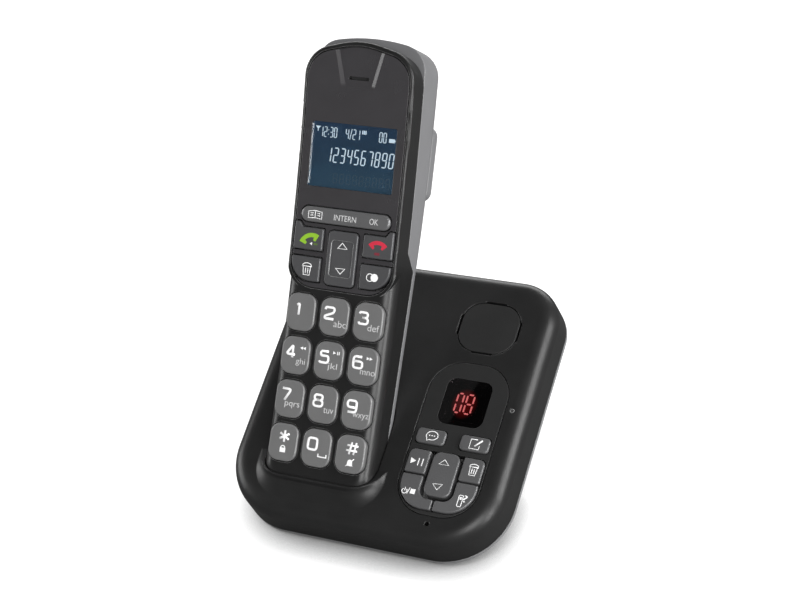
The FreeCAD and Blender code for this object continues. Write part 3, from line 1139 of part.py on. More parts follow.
def handset_back(whole):
    """Rear speaker, its cover and the screws."""
    shell = prism("hump_block", rect("hump_width", "hump_length", "hump_corner"), "-hump_rise", "4.2",
                  bottom="hump_round")
    inner = prism("hump_hollow", rect("hump_inside", "hump_length - 2 * hump_wall - 3", "3"),
                  "hump_wall - hump_rise", PROUD)
    slots = [prism(f"hump_slot_{i}", rect("vent_length", "vent_width", "vent_width / 2 - 0.01", "0",
                                          f"{i - 2} * vent_pitch"), DEEP, "0") for i in range(5)]
    made = cut("hump", put(shell, HUMP), [whole] + [put(tool, HUMP) for tool in [inner] + slots])
    piece(made, "rear_speaker_cover", HANDSET)
    place = shift("0", "0", "handset_wall + 0.25")
    piece(cylinder("ringer", "ringer_radius", "ringer_depth", HANDSET, HUMP, place), "rear_speaker")
    shafts = posts("pin_shaft", "pin_radius", ("-body_depth + 1.5", "12.5"), (f"{HIGH_BACK} + 1.5", "19"))
    heads = posts("pin_cap", "pin_head", ("-body_depth + 0.2", "1.4"), (f"{HIGH_BACK} + 0.2", "1.4"))
    screws = [fuse(f"pin_{i}", [shaft, head]) for i, (shaft, head) in enumerate(zip(shafts, heads))]
    piece(group("pins", screws), "handset_screws", HANDSET)


# ---------------------------------------------------------------- build, check and write
def check_all():
    """Stop if any object failed or any sub-part's shape is missing or not valid."""
    bad = [item.Name for item in DOC.Objects if "Invalid" in item.State or "Error" in item.State]
    bad += [item.Label for item in PIECES if item.Shape.isNull() or not item.Shape.isValid()]
    if bad:
        raise RuntimeError("failed objects: " + ", ".join(bad))


def centre_depth():
    """Move the frames so that the set's depth is centred on the origin."""
    boxes = [item.Shape.BoundBox for item in PIECES]
    middle = (min(box.YMin for box in boxes) + max(box.YMax for box in boxes)) / 2
    row = [alias for alias, value, note in SIZES].index("depth_shift") + 1
    SHEET.set(f"B{row}", str(worth("depth_shift") - middle))
    DOC.recompute()


def main():
    openings = base_openings()
    top_shell(openings)
    bottom_shell()
    base_controls(openings)
    base_inside()
    base_fasteners()
    whole = handset_shells()
    handset_keys()
    handset_inside()
    handset_back(whole)
    DOC.recompute()
    check_all()
    centre_depth()
    check_all()
    os.makedirs("parts", exist_ok=True)
    for item in PIECES:
        item.Shape.exportStep(os.path.join("parts", item.Label + ".step"))
        print(f"{item.Label:24s} solids {len(item.Shape.Solids):2d}  volume {item.Shape.Volume:10.1f}")
    print(len(PIECES), "sub-parts")


main()
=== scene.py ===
# %% [markdown]
# # A cordless telephone in its answering machine base
# The object is a handset that stands in a slanted charging base. The base holds the answering
# machine: a counter, a loudspeaker and its keys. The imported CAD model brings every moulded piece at
# its real size. This lesson gives those pieces their finishes, prints the keys, lights the two
# displays and sets up a small studio round the object.

# %% Load the CAD model
import json
import math

import bpy
from mathutils import Matrix, Vector


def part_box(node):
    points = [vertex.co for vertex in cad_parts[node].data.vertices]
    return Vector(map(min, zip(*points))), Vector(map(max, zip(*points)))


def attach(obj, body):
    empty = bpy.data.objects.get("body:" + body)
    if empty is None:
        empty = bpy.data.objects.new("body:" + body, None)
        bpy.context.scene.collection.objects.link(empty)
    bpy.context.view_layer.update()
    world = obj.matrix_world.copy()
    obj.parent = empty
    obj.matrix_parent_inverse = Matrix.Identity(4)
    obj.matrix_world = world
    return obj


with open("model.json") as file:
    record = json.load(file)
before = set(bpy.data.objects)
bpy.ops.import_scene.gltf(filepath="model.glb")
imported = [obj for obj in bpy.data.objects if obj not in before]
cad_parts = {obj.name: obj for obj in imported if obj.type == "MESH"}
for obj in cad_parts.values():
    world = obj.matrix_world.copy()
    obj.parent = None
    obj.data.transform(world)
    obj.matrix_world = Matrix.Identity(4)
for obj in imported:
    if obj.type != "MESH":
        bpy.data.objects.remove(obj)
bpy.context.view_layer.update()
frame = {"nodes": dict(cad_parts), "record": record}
nodes = frame["nodes"]
scene = bpy.context.scene
scene.view_settings.view_transform = "Standard"
MM = 0.001

# %% [markdown]
# ## Two working planes
# The keys lie on two planes: the base's top face, which leans back from the table, and the
# handset's face, which is a shallow hollow arc. A matrix for each lets the marks be drawn flat, in
# millimetres, and then be laid on the object. The base plane is found from the counter window, so
# the marks stay on the keys when the set moves.

# %% Working planes of the base and the handset
TILT = math.radians(22.0)
LEAN = math.radians(25.2)
FACE_RADIUS = 764.0 * MM
PANEL_X = 30.8
WINDOW_Y = 0.9
INLAY = 1.6
KEY_TOP = 0.9
HANDSET_SPOT = (-16.9, -30.8, 9.0)
SCREEN_Y, CLUSTER_Y, BAR_Y = 109.3, 71.3, 86.7


def place_at(x, y, z, angle=0.0):
    """A place in millimetres, turned about X."""
    return Matrix.Translation(Vector((x, y, z)) * MM) @ Matrix.Rotation(angle, 4, "X")


window_low, window_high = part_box("led_window")
window_offset = Matrix.Rotation(TILT, 4, "X") @ (Vector((PANEL_X, WINDOW_Y, -INLAY / 2)) * MM)
slab_middle = (window_low + window_high) / 2 - window_offset
SLAB = Matrix.Translation(slab_middle) @ Matrix.Rotation(TILT, 4, "X")
HANDSET = SLAB @ place_at(*HANDSET_SPOT, LEAN)


def on_face(x, along):
    """Place on the handset's hollow face, at a distance in millimetres along it."""
    angle = along * MM / FACE_RADIUS
    rise = FACE_RADIUS * (1 - math.cos(angle))
    return HANDSET @ place_at(x, FACE_RADIUS * math.sin(angle) / MM, rise / MM, angle)


print("middle of the base's face:", [round(c / MM, 1) for c in slab_middle])

# %% [markdown]
# ## Camera
# A long lens from above and to the right keeps the tall handset's edges nearly parallel, as in a
# catalogue picture. Its place and roll are fixed numbers, because the whole set is seen from one
# side only.

# %% Camera
CAMERA_PLACE = (0.264, -0.45511, 0.48842)
CAMERA_TURN = (51.1352, 8.7605, 22.802)
LENS = 80.207

camera_data = bpy.data.cameras.new("camera")
camera_data.lens = LENS
camera_data.sensor_width = 36.0
camera_data.clip_start = 0.01
camera = bpy.data.objects.new("camera", camera_data)
camera.location = CAMERA_PLACE
camera.rotation_euler = [math.radians(a) for a in CAMERA_TURN]
scene.collection.objects.link(camera)
scene.camera = camera
print("camera at", CAMERA_PLACE, "with a", LENS, "mm lens")

# %% [markdown]
# ## Node helpers
# Every finish below is made of nodes. Four small helpers keep those cells short: one adds a node
# with its settings and values, one starts a node group with named sockets, one places a group in a
# material, and one links sockets.

# %% Helpers that add and link nodes


def add_node(tree, kind, values=None, **settings):
    """Add a node, set its properties, then its input values by name or number."""
    made = tree.nodes.new("ShaderNode" + kind)
    for name, value in settings.items():
        setattr(made, name, value)
    for name, value in (values or {}).items():
        made.inputs[name].default_value = value
    return made


def start_group(name, inputs, outputs):
    """Shader node group with named inputs (label, type, value) and outputs (label, type)."""
    group = bpy.data.node_groups.new(name, "ShaderNodeTree")
    for label, kind, value in inputs:
        socket = group.interface.new_socket(label, in_out="INPUT", socket_type="NodeSocket" + kind)
        socket.default_value = value
    for label, kind in outputs:
        group.interface.new_socket(label, in_out="OUTPUT", socket_type="NodeSocket" + kind)
    return group, group.nodes.new("NodeGroupInput"), group.nodes.new("NodeGroupOutput")


def use_group(tree, group, values=None):
    """Place a group in a material with its own values."""
    made = tree.nodes.new("ShaderNodeGroup")
    made.node_tree = group
    for name, value in (values or {}).items():
        made.inputs[name].default_value = value
    return made


def link(tree, *pairs):
    """Link pairs of source and target sockets; a node as source gives its first output."""
    for source, target in pairs:
        first = source.outputs[0] if isinstance(source, bpy.types.Node) else source
        tree.links.new(first, target)


print("node helpers ready")

# %% [markdown]
# ## Moulded grain
# A moulded case is never one even colour: the tool leaves a fine spark texture, and the gloss
# changes slowly from place to place. One group does this for all plastics: a slow noise mottles the
# colour and the roughness, and a fine noise gives the bump. It reads Object coordinates, so the
# pattern has a real size and moves with its piece. A mould also has no knife edges, so the bump
# starts from the Bevel node's normal, which rounds every crease by a given radius.

# %% Group: moulded grain
GRAIN_INPUTS = [("Colour", "Color", (0.5, 0.5, 0.5, 1)), ("Mottle", "Float", 0.08),
                ("Roughness", "Float", 0.4), ("Spread", "Float", 0.08),
                ("Grain Scale", "Float", 2600.0), ("Grain Depth", "Float", 0.15),
                ("Soft Edge", "Float", 0.0003)]
moulded_grain, grain_in, grain_out = start_group(
    "moulded grain", GRAIN_INPUTS,
    [("Colour", "Color"), ("Roughness", "Float"), ("Normal", "Vector")])
where = add_node(moulded_grain, "TexCoord")
slow = add_node(moulded_grain, "TexNoise", {"Scale": 85.0, "Detail": 3.0, "Roughness": 0.6})
fine = add_node(moulded_grain, "TexNoise", {"Detail": 2.0, "Roughness": 0.7})
centred = add_node(moulded_grain, "Math", {1: 0.5}, operation="SUBTRACT")
tint_amount = add_node(moulded_grain, "Math", operation="MULTIPLY")
tint_factor = add_node(moulded_grain, "Math", {1: 1.0}, operation="ADD")
tinted = add_node(moulded_grain, "VectorMath", operation="SCALE")
gloss_amount = add_node(moulded_grain, "Math", operation="MULTIPLY")
gloss = add_node(moulded_grain, "Math", operation="ADD")
grain_bump = add_node(moulded_grain, "Bump", {"Distance": 0.00004})
softened = add_node(moulded_grain, "Bevel", samples=5)
link(moulded_grain, (grain_in.outputs["Soft Edge"], softened.inputs["Radius"]),
     (softened, grain_bump.inputs["Normal"]), (where.outputs["Object"], slow.inputs["Vector"]),
     (where.outputs["Object"], fine.inputs["Vector"]),
     (grain_in.outputs["Grain Scale"], fine.inputs["Scale"]),
     (slow.outputs["Fac"], centred.inputs[0]), (centred, tint_amount.inputs[0]),
     (grain_in.outputs["Mottle"], tint_amount.inputs[1]), (tint_amount, tint_factor.inputs[0]),
     (grain_in.outputs["Colour"], tinted.inputs[0]), (tint_factor, tinted.inputs["Scale"]),
     (centred, gloss_amount.inputs[0]), (grain_in.outputs["Spread"], gloss_amount.inputs[1]),
     (gloss_amount, gloss.inputs[0]), (grain_in.outputs["Roughness"], gloss.inputs[1]),
     (fine.outputs["Fac"], grain_bump.inputs["Height"]),
     (grain_in.outputs["Grain Depth"], grain_bump.inputs["Strength"]),
     (tinted, grain_out.inputs["Colour"]), (gloss, grain_out.inputs["Roughness"]),
     (grain_bump, grain_out.inputs["Normal"]))
print("group:", moulded_grain.name)

# %% [markdown]
# ## Edge polish and painted edge highlight
# Hands and the mould polish the edges of keys and cases a little, and this group lightens them
# further as a painted highlight, standing in for the light that rounded edges catch. The Bevel node
# bends the normal near an edge, so where it differs from the plain normal there is an edge. A noise
# breaks the line up, or it would look drawn.

# %% Group: edge polish and painted edge highlight
# The edge mask made here lightens edges mostly as a painted highlight, with a little polish wear.
polish_and_edge_highlight, edge_in, edge_out = start_group(
    "polish and painted edge highlight", [("Width", "Float", 0.0005), ("Amount", "Float", 0.5)], [("Edge", "Float")])
where = add_node(polish_and_edge_highlight, "TexCoord")
bent = add_node(polish_and_edge_highlight, "Bevel", samples=6)
plain = add_node(polish_and_edge_highlight, "NewGeometry")
likeness = add_node(polish_and_edge_highlight, "VectorMath", operation="DOT_PRODUCT")
edge = add_node(polish_and_edge_highlight, "MapRange", {"From Min": 0.995, "From Max": 0.86})
breakup = add_node(polish_and_edge_highlight, "TexNoise", {"Scale": 420.0, "Detail": 3.0})
patches = add_node(polish_and_edge_highlight, "MapRange", {"From Min": 0.3, "From Max": 0.6, "To Min": 0.45})
broken = add_node(polish_and_edge_highlight, "Math", operation="MULTIPLY")
scaled = add_node(polish_and_edge_highlight, "Math", operation="MULTIPLY", use_clamp=True)
link(polish_and_edge_highlight, (edge_in.outputs["Width"], bent.inputs["Radius"]), (bent, likeness.inputs[0]),
     (plain.outputs["Normal"], likeness.inputs[1]),
     (likeness.outputs["Value"], edge.inputs["Value"]),
     (where.outputs["Object"], breakup.inputs["Vector"]),
     (breakup.outputs["Fac"], patches.inputs["Value"]), (edge, broken.inputs[0]),
     (patches, broken.inputs[1]), (broken, scaled.inputs[0]),
     (edge_in.outputs["Amount"], scaled.inputs[1]), (scaled, edge_out.inputs["Edge"]))
print("group:", polish_and_edge_highlight.name)

# %% [markdown]
# ## Fingermarks
# Polished surfaces show faint smears. Two stretched noises are multiplied, so that only a few
# patches remain, and the group puts out how much they dull the gloss.

# %% Group: fingermarks
fingermarks, marks_in, marks_out = start_group(
    "fingermarks",
    [("Roughness", "Float", 0.1), ("Smear", "Float", 0.15), ("Scale", "Float", 60.0)],
    [("Roughness", "Float"), ("Mask", "Float")])
where = add_node(fingermarks, "TexCoord")
wide = add_node(fingermarks, "TexNoise", {"Detail": 2.0})
ridges = add_node(fingermarks, "TexWave", {"Scale": 700.0, "Distortion": 9.0, "Detail": 2.0})
spots = add_node(fingermarks, "MapRange", {"From Min": 0.52, "From Max": 0.75})
smear = add_node(fingermarks, "Math", operation="MULTIPLY")
amount = add_node(fingermarks, "Math", operation="MULTIPLY")
dulled = add_node(fingermarks, "Math", operation="ADD")
link(fingermarks, (where.outputs["Object"], wide.inputs["Vector"]),
     (where.outputs["Object"], ridges.inputs["Vector"]),
     (marks_in.outputs["Scale"], wide.inputs["Scale"]),
     (wide.outputs["Fac"], spots.inputs["Value"]), (spots, smear.inputs[0]),
     (ridges.outputs["Fac"], smear.inputs[1]), (smear, amount.inputs[0]),
     (marks_in.outputs["Smear"], amount.inputs[1]), (amount, dulled.inputs[0]),
     (marks_in.outputs["Roughness"], dulled.inputs[1]), (dulled, marks_out.inputs["Roughness"]),
     (smear, marks_out.inputs["Mask"]))
print("group:", fingermarks.name)

# %% [markdown]
# ## Moulded plastics
# The black case, the grey lower shell and the key caps are one kind of material with different
# values, so one function builds them all: grain gives colour, roughness and bump, and the edge
# mask lightens the rims as a painted highlight with a little polish wear. The Principled shader
# stays in the material, and constants are set on its own sockets.

# %% Function: moulded plastic
GLOSS_SPREAD = 0.1


def start_material(name):
    """Empty node material with a Principled shader; returns material, tree and shader."""
    material = bpy.data.materials.new(name)
    material.use_nodes = True
    tree = material.node_tree
    return material, tree, tree.nodes["Principled BSDF"]


def grey(value, blue=0.0):
    """A neutral colour, a touch cooler or warmer."""
    return (value, value, value * (1 + blue), 1)


def moulded_plastic(name, colour, roughness, rim_highlight, rim_highlight_width=0.5, rim_highlight_amount=0.6, mottle=0.1,
                    grain=2600.0, depth=0.12, soft=0.25, specular=0.5, metallic=0.0):
    """Satin plastic with grain, and edges lightened as a painted highlight."""
    material, tree, shader = start_material(name)
    surface = use_group(tree, moulded_grain, {
        "Colour": colour, "Mottle": mottle, "Roughness": roughness, "Spread": GLOSS_SPREAD,
        "Grain Scale": grain, "Grain Depth": depth, "Soft Edge": soft * MM})
    edges = use_group(tree, polish_and_edge_highlight, {"Width": rim_highlight_width * MM, "Amount": rim_highlight_amount})
    # The rim colour mixed in here is a painted highlight on the edges, with a little polish wear.
    blend = add_node(tree, "Mix", {7: rim_highlight}, data_type="RGBA")
    link(tree, (edges.outputs["Edge"], blend.inputs[0]),
         (surface.outputs["Colour"], blend.inputs[6]),
         (blend.outputs[2], shader.inputs["Base Color"]),
         (surface.outputs["Roughness"], shader.inputs["Roughness"]),
         (surface.outputs["Normal"], shader.inputs["Normal"]))
    shader.inputs["Specular IOR Level"].default_value = specular
    shader.inputs["Metallic"].default_value = metallic
    return material


print("function: moulded_plastic")

# %% [markdown]
# ## The case, the shells and the keys
# Each slot of the part gets one finish. The base and the front of the handset are black satin, the
# rear housing and the function keys are greys with a little metal powder, and the lower shell is a
# plain light grey. Values near 0.01 are right for black plastic: a darker one would lose its shape.

# %% Finishes of the moulded pieces
# The rim colour of each finish below is a painted highlight on the piece's edges, lighter than its
# plastic.
finishes = {
    "base_black": moulded_plastic("base case black", grey(0.0155), 0.36, grey(0.07), rim_highlight_width=0.6,
                                  rim_highlight_amount=0.3, mottle=0.4, soft=0.9, specular=0.38),
    "panel_black": moulded_plastic("panel black", grey(0.0235), 0.4, grey(0.1), rim_highlight_width=0.4,
                                   rim_highlight_amount=0.4, mottle=0.3, soft=0.3, specular=0.25),
    "lower_grey": moulded_plastic("lower shell grey", grey(0.2, 0.02), 0.5, grey(0.3), mottle=0.2,
                                  specular=0.2),
    "handset_black": moulded_plastic("handset black", grey(0.0125), 0.34, grey(0.33), rim_highlight_width=0.3,
                                     rim_highlight_amount=0.85, mottle=0.4, soft=0.5, specular=0.42),
    "handset_silver": moulded_plastic("handset silver grey", grey(0.22, 0.03), 0.42, grey(0.4),
                                      mottle=0.12, grain=1900.0, soft=0.6, metallic=0.25),
    "key_grey": moulded_plastic("digit key grey", grey(0.21), 0.4, grey(0.6), rim_highlight_width=0.35,
                                rim_highlight_amount=0.9, mottle=0.16, grain=3200.0, soft=0.5, metallic=0.35),
    "function_key": moulded_plastic("function key grey", grey(0.092, 0.04), 0.36, grey(0.5),
                                    rim_highlight_width=0.3, rim_highlight_amount=0.9, mottle=0.16, soft=0.4,
                                    metallic=0.3),
    "bar_silver": moulded_plastic("softkey bar silver", grey(0.23, 0.02), 0.3, grey(0.6),
                                  rim_highlight_width=0.4, rim_highlight_amount=0.9, mottle=0.12, soft=1.2,
                                  metallic=0.6),
    "base_key": moulded_plastic("base key grey", grey(0.14, 0.02), 0.38, grey(0.6), rim_highlight_width=0.4,
                                rim_highlight_amount=0.9, mottle=0.16, soft=0.6, metallic=0.4),
    "rubber_grey": moulded_plastic("key mat grey", grey(0.3), 0.7, grey(0.36), mottle=0.2),
    "rubber_black": moulded_plastic("foot rubber", grey(0.028), 0.75, grey(0.05), mottle=0.4,
                                    grain=1500.0, depth=0.4),
    "speaker_dark": moulded_plastic("speaker cone", grey(0.045), 0.6, grey(0.12), mottle=0.4,
                                    grain=900.0, depth=0.5),
    "socket_black": moulded_plastic("socket black", grey(0.02), 0.45, grey(0.07), mottle=0.3),
}
print("moulded finishes:", len(finishes))

# %% [markdown]
# ## Polished fascia and windows
# The fascia round the handset's display is polished, so it keeps a low roughness that only the
# fingermarks raise. The two windows are real glass shaders: the counter window is smoked, so that
# the red digits show through it and little else, and the display window is clear.

# %% Finishes of the polished pieces


def polished_plastic(name, colour, roughness, smear, coat):
    """Dark plastic with a high gloss and faint smears."""
    material, tree, shader = start_material(name)
    marks = use_group(tree, fingermarks, {"Roughness": roughness, "Smear": smear, "Scale": 70.0})
    surface = use_group(tree, moulded_grain, {"Colour": colour, "Mottle": 0.25,
                                              "Roughness": roughness, "Spread": 0.05,
                                              "Grain Depth": 0.03})
    link(tree, (surface.outputs["Colour"], shader.inputs["Base Color"]),
         (surface.outputs["Normal"], shader.inputs["Normal"]),
         (marks.outputs["Roughness"], shader.inputs["Roughness"]))
    shader.inputs["Coat Weight"].default_value = coat
    shader.inputs["Coat Roughness"].default_value = 0.08
    return material


def window_glass(name, colour):
    """Clear or smoked window with faint smears."""
    material, tree, shader = start_material(name)
    marks = use_group(tree, fingermarks, {"Roughness": 0.015, "Smear": 0.03, "Scale": 90.0})
    link(tree, (marks.outputs["Roughness"], shader.inputs["Roughness"]))
    shader.inputs["Base Color"].default_value = colour
    shader.inputs["Transmission Weight"].default_value = 1.0
    shader.inputs["IOR"].default_value = 1.47
    return material


finishes["fascia_gloss"] = polished_plastic("fascia gloss", (0.043, 0.041, 0.044, 1), 0.24, 0.1,
                                            0.12)
finishes["window_gloss"] = window_glass("smoked counter window", (0.16, 0.13, 0.14, 1))
finishes["display_glass"] = window_glass("display window", (0.93, 0.96, 0.97, 1))
print("polished finishes: fascia and two windows")

# %% [markdown]
# ## Metal and board
# These pieces are inside or underneath. The contacts and screws are bare metal, the boards are
# green lacquer with lighter tracks, and the cells have a printed sleeve.

# %% Finishes of metal, boards and cells
PATCH_START, PATCH_END = 0.48, 0.52


def bare_metal(name, colour, roughness):
    """Plated metal with fine brush lines."""
    material, tree, shader = start_material(name)
    where = add_node(tree, "TexCoord")
    stretch = add_node(tree, "Mapping", {"Scale": (1.0, 30.0, 30.0)})
    lines = add_node(tree, "TexNoise", {"Scale": 240.0, "Detail": 3.0})
    gloss = add_node(tree, "MapRange", {"To Min": roughness - 0.08, "To Max": roughness + 0.12})
    bump = add_node(tree, "Bump", {"Strength": 0.1, "Distance": 0.00003})
    link(tree, (where.outputs["Object"], stretch.inputs["Vector"]),
         (stretch.outputs["Vector"], lines.inputs["Vector"]),
         (lines.outputs["Fac"], gloss.inputs["Value"]), (gloss, shader.inputs["Roughness"]),
         (lines.outputs["Fac"], bump.inputs["Height"]), (bump, shader.inputs["Normal"]))
    shader.inputs["Base Color"].default_value = colour
    shader.inputs["Metallic"].default_value = 1.0
    return material


def patched(name, colour, other, scale, roughness):
    """Two colours in sharp patches, for board tracks and printed sleeves."""
    material, tree, shader = start_material(name)
    where = add_node(tree, "TexCoord")
    cells = add_node(tree, "TexVoronoi", {"Scale": scale}, distance="MANHATTAN", feature="F1")
    mask = add_node(tree, "MapRange", {"From Min": PATCH_START / scale,
                                       "From Max": PATCH_END / scale})
    blend = add_node(tree, "Mix", {6: colour, 7: other}, data_type="RGBA")
    surface = use_group(tree, moulded_grain, {"Mottle": 0.2, "Roughness": roughness})
    link(tree, (where.outputs["Object"], cells.inputs["Vector"]),
         (cells.outputs["Distance"], mask.inputs["Value"]), (mask, blend.inputs[0]),
         (blend.outputs[2], surface.inputs["Colour"]),
         (surface.outputs["Colour"], shader.inputs["Base Color"]),
         (surface.outputs["Roughness"], shader.inputs["Roughness"]),
         (surface.outputs["Normal"], shader.inputs["Normal"]))
    return material


finishes["screw_steel"] = bare_metal("screw steel", (0.5, 0.5, 0.52, 1), 0.3)
finishes["contact_metal"] = bare_metal("contact nickel", (0.72, 0.69, 0.62, 1), 0.22)
finishes["circuit_green"] = patched("circuit board", (0.02, 0.12, 0.05, 1), (0.05, 0.2, 0.09, 1),
                                    400.0, 0.3)
finishes["cell_wrap"] = patched("cell sleeve", (0.08, 0.22, 0.1, 1), (0.3, 0.32, 0.3, 1),
                                45.0, 0.35)
# The status light's pale rim is a painted highlight, the small bright crescent on its dark lens.
finishes["light_pipe"] = moulded_plastic("status light", grey(0.05), 0.2, grey(0.8), rim_highlight_width=0.3,
                                         rim_highlight_amount=1.0, mottle=0.2)
print("metal and board finishes done, total:", len(finishes))

# %% [markdown]
# ## Lit surfaces
# The liquid crystal display is a backlit blue field, a little brighter towards its lower edge.
# Under the counter window the red digits spread a soft glow on the block that carries them. Both
# are emission that changes with the place on the piece, measured along the face it lies on.

# %% Function: emission that fades over a face


def face_axis(tree, origin, axis):
    """Distance in millimetres along an axis from an origin, both in the object's own frame."""
    where = add_node(tree, "TexCoord")
    offset = add_node(tree, "VectorMath", {1: origin}, operation="SUBTRACT")
    along = add_node(tree, "VectorMath", {1: axis / MM}, operation="DOT_PRODUCT")
    link(tree, (where.outputs["Object"], offset.inputs[0]), (offset, along.inputs[0]))
    return along.outputs["Value"]


LCD = on_face(0, SCREEN_Y)
lcd_up = (LCD.to_3x3() @ Vector((0, 1, 0))).normalized()
display, tree, shader = start_material("display blue")
height = face_axis(tree, LCD.translation, lcd_up)
HALF_SCREEN = 12.0
DEEP_BLUE, LIGHTER_BLUE = (0.0075, 0.023, 0.05, 1), (0.0125, 0.037, 0.064, 1)
fade = add_node(tree, "MapRange", {"From Min": -HALF_SCREEN, "From Max": HALF_SCREEN, "To Min": 1.0,
                                   "To Max": 0.0})
cloud = add_node(tree, "TexNoise", {"Scale": 60.0, "Detail": 2.0})
where = add_node(tree, "TexCoord")
mixed = add_node(tree, "Mix", {6: DEEP_BLUE, 7: LIGHTER_BLUE}, data_type="RGBA")
uneven = add_node(tree, "MapRange", {"To Min": 0.85, "To Max": 1.15})
field = add_node(tree, "VectorMath", operation="SCALE")
link(tree, (height, fade.inputs["Value"]), (fade, mixed.inputs[0]),
     (where.outputs["Object"], cloud.inputs["Vector"]),
     (cloud.outputs["Fac"], uneven.inputs["Value"]), (mixed.outputs[2], field.inputs[0]),
     (uneven, field.inputs["Scale"]), (field, shader.inputs["Emission Color"]),
     (field, shader.inputs["Base Color"]))
shader.inputs["Emission Strength"].default_value = 0.8
shader.inputs["Roughness"].default_value = 0.4
finishes["display_blue"] = display
print("display field:", display.name)

# %% The red glow under the counter window
GLOW_RED = (1.0, 0.02, 0.02)
GLOW_SHIFT, GLOW_HALF_WIDTH, GLOW_HALF_LENGTH = 0.7, 5.2, 6.4
slab_up = (SLAB.to_3x3() @ Vector((0, 1, 0))).normalized()
window_place = (SLAB @ place_at(PANEL_X, WINDOW_Y, -INLAY)).translation
counter, tree, shader = start_material("counter glow")
across = face_axis(tree, window_place - Vector((GLOW_SHIFT * MM, 0, 0)), Vector((1.0, 0, 0)))
upward = face_axis(tree, window_place, slab_up)
narrow = add_node(tree, "Math", {1: GLOW_HALF_WIDTH}, operation="DIVIDE")
tall = add_node(tree, "Math", {1: GLOW_HALF_LENGTH}, operation="DIVIDE")
squares = [add_node(tree, "Math", {1: 2.0}, operation="POWER") for _ in range(2)]
total = add_node(tree, "Math", operation="ADD")
falloff = add_node(tree, "MapRange",
                   {"From Min": 0.15, "From Max": 1.1, "To Min": 1.0, "To Max": 0.0},
                   interpolation_type="SMOOTHSTEP")
glow = add_node(tree, "VectorMath", {0: GLOW_RED}, operation="SCALE")
link(tree, (across, narrow.inputs[0]), (upward, tall.inputs[0]), (narrow, squares[0].inputs[0]),
     (tall, squares[1].inputs[0]), (squares[0], total.inputs[0]), (squares[1], total.inputs[1]),
     (total, falloff.inputs["Value"]), (falloff, glow.inputs["Scale"]),
     (glow, shader.inputs["Emission Color"]))
shader.inputs["Emission Strength"].default_value = 0.3
shader.inputs["Base Color"].default_value = (0.002, 0.001, 0.001, 1)
finishes["display_red"] = counter
print("glow block:", counter.name)

# %% [markdown]
# ## Giving the pieces their finishes
# The record says which slot each piece takes its finish from. The CAD meshes themselves stay as
# they are; only the material in their slot changes.

# %% Assign the finishes
for entry in frame["record"]["subparts"]:
    slots = nodes[entry["node"]].data.materials
    slots.clear()
    slots.append(finishes[entry["material_slot"]])

# %% [markdown]
# ## Marks on the keys
# Legends are printed or moulded in, a few hundredths of a millimetre proud. Each is drawn flat in
# millimetres, about the middle of its key, from three kinds of mark: a filled outline, a stroke of
# even width, and text. Drawing them as thin solids keeps them sharp at any distance, and each set
# of marks moves with its own key.

# %% Helpers for flat marks
INK = 0.05


def only(piece):
    """Select one piece and make it active."""
    bpy.ops.object.select_all(action="DESELECT")
    piece.select_set(True)
    bpy.context.view_layer.objects.active = piece


def flat_curve(name, runs, closed, form):
    """Curve object through runs of (x, y) points."""
    data = bpy.data.curves.new(name, "CURVE")
    data.dimensions = form
    for run in runs:
        spline = data.splines.new("POLY")
        spline.points.add(len(run) - 1)
        for point, (x, y) in zip(spline.points, run):
            point.co = (x, y, 0, 1)
        spline.use_cyclic_u = closed
    piece = bpy.data.objects.new(name, data)
    scene.collection.objects.link(piece)
    return piece


def make_mesh(piece, material, flatten=1.0):
    """Turn a curve or text into a clean closed mesh with one material."""
    only(piece)
    bpy.ops.object.convert(target="MESH")
    bpy.ops.object.mode_set(mode="EDIT")
    bpy.ops.mesh.select_all(action="SELECT")
    bpy.ops.transform.resize(value=(1, 1, flatten), center_override=(0, 0, 0))
    bpy.ops.mesh.remove_doubles(threshold=0.002)
    bpy.ops.mesh.normals_make_consistent(inside=False)
    bpy.ops.object.mode_set(mode="OBJECT")
    piece.data.materials.clear()
    piece.data.materials.append(material)
    return piece


def fill(runs, material):
    """Filled outlines; an outline inside another is a hole."""
    piece = flat_curve("fill", runs, True, "2D")
    piece.data.fill_mode = "BOTH"
    piece.data.extrude = INK / 2
    return make_mesh(piece, material)


def stroke(runs, width, material, closed=False):
    """Lines of even width."""
    piece = flat_curve("stroke", runs, closed, "3D")
    piece.data.bevel_depth = width / 2
    piece.data.bevel_resolution = 2
    piece.data.use_fill_caps = True
    return make_mesh(piece, material, INK / width)


def words(text, middle, width, material, height, weight=0.0):
    """Text fitted to a width and a height, about its middle."""
    data = bpy.data.curves.new("words", "FONT")
    data.body = text
    data.extrude = INK / 2
    data.offset = weight
    piece = bpy.data.objects.new("words", data)
    scene.collection.objects.link(piece)
    make_mesh(piece, material)
    xs = [v.co.x for v in piece.data.vertices]
    ys = [v.co.y for v in piece.data.vertices]
    wide = width / (max(xs) - min(xs))
    high = height / (max(ys) - min(ys))
    centre = Vector(((max(xs) + min(xs)) / 2, (max(ys) + min(ys)) / 2, 0))
    piece.data.transform(Matrix.Translation(Vector((*middle, 0)))
                         @ Matrix.Diagonal((wide, high, 1, 1)) @ Matrix.Translation(-centre))
    return piece


print("mark helpers: fill, stroke, words")

# %% Helpers for shapes and for placing a set of marks
CORNER_STEPS = 4


def rounded(run, radius, closed=False):
    """A run of points with its corners rounded."""
    points = [Vector(p) for p in run]
    made = []
    for i, corner in enumerate(points):
        if not closed and i in (0, len(points) - 1):
            made.append(corner[:])
            continue
        before, after = points[i - 1] - corner, points[(i + 1) % len(points)] - corner
        reach = min(radius, before.length / 2, after.length / 2)
        start, end = corner + before.normalized() * reach, corner + after.normalized() * reach
        for k in range(CORNER_STEPS + 1):
            t = k / CORNER_STEPS
            made.append((start * (1 - t) ** 2 + corner * (2 * t * (1 - t)) + end * t * t)[:])
    return made


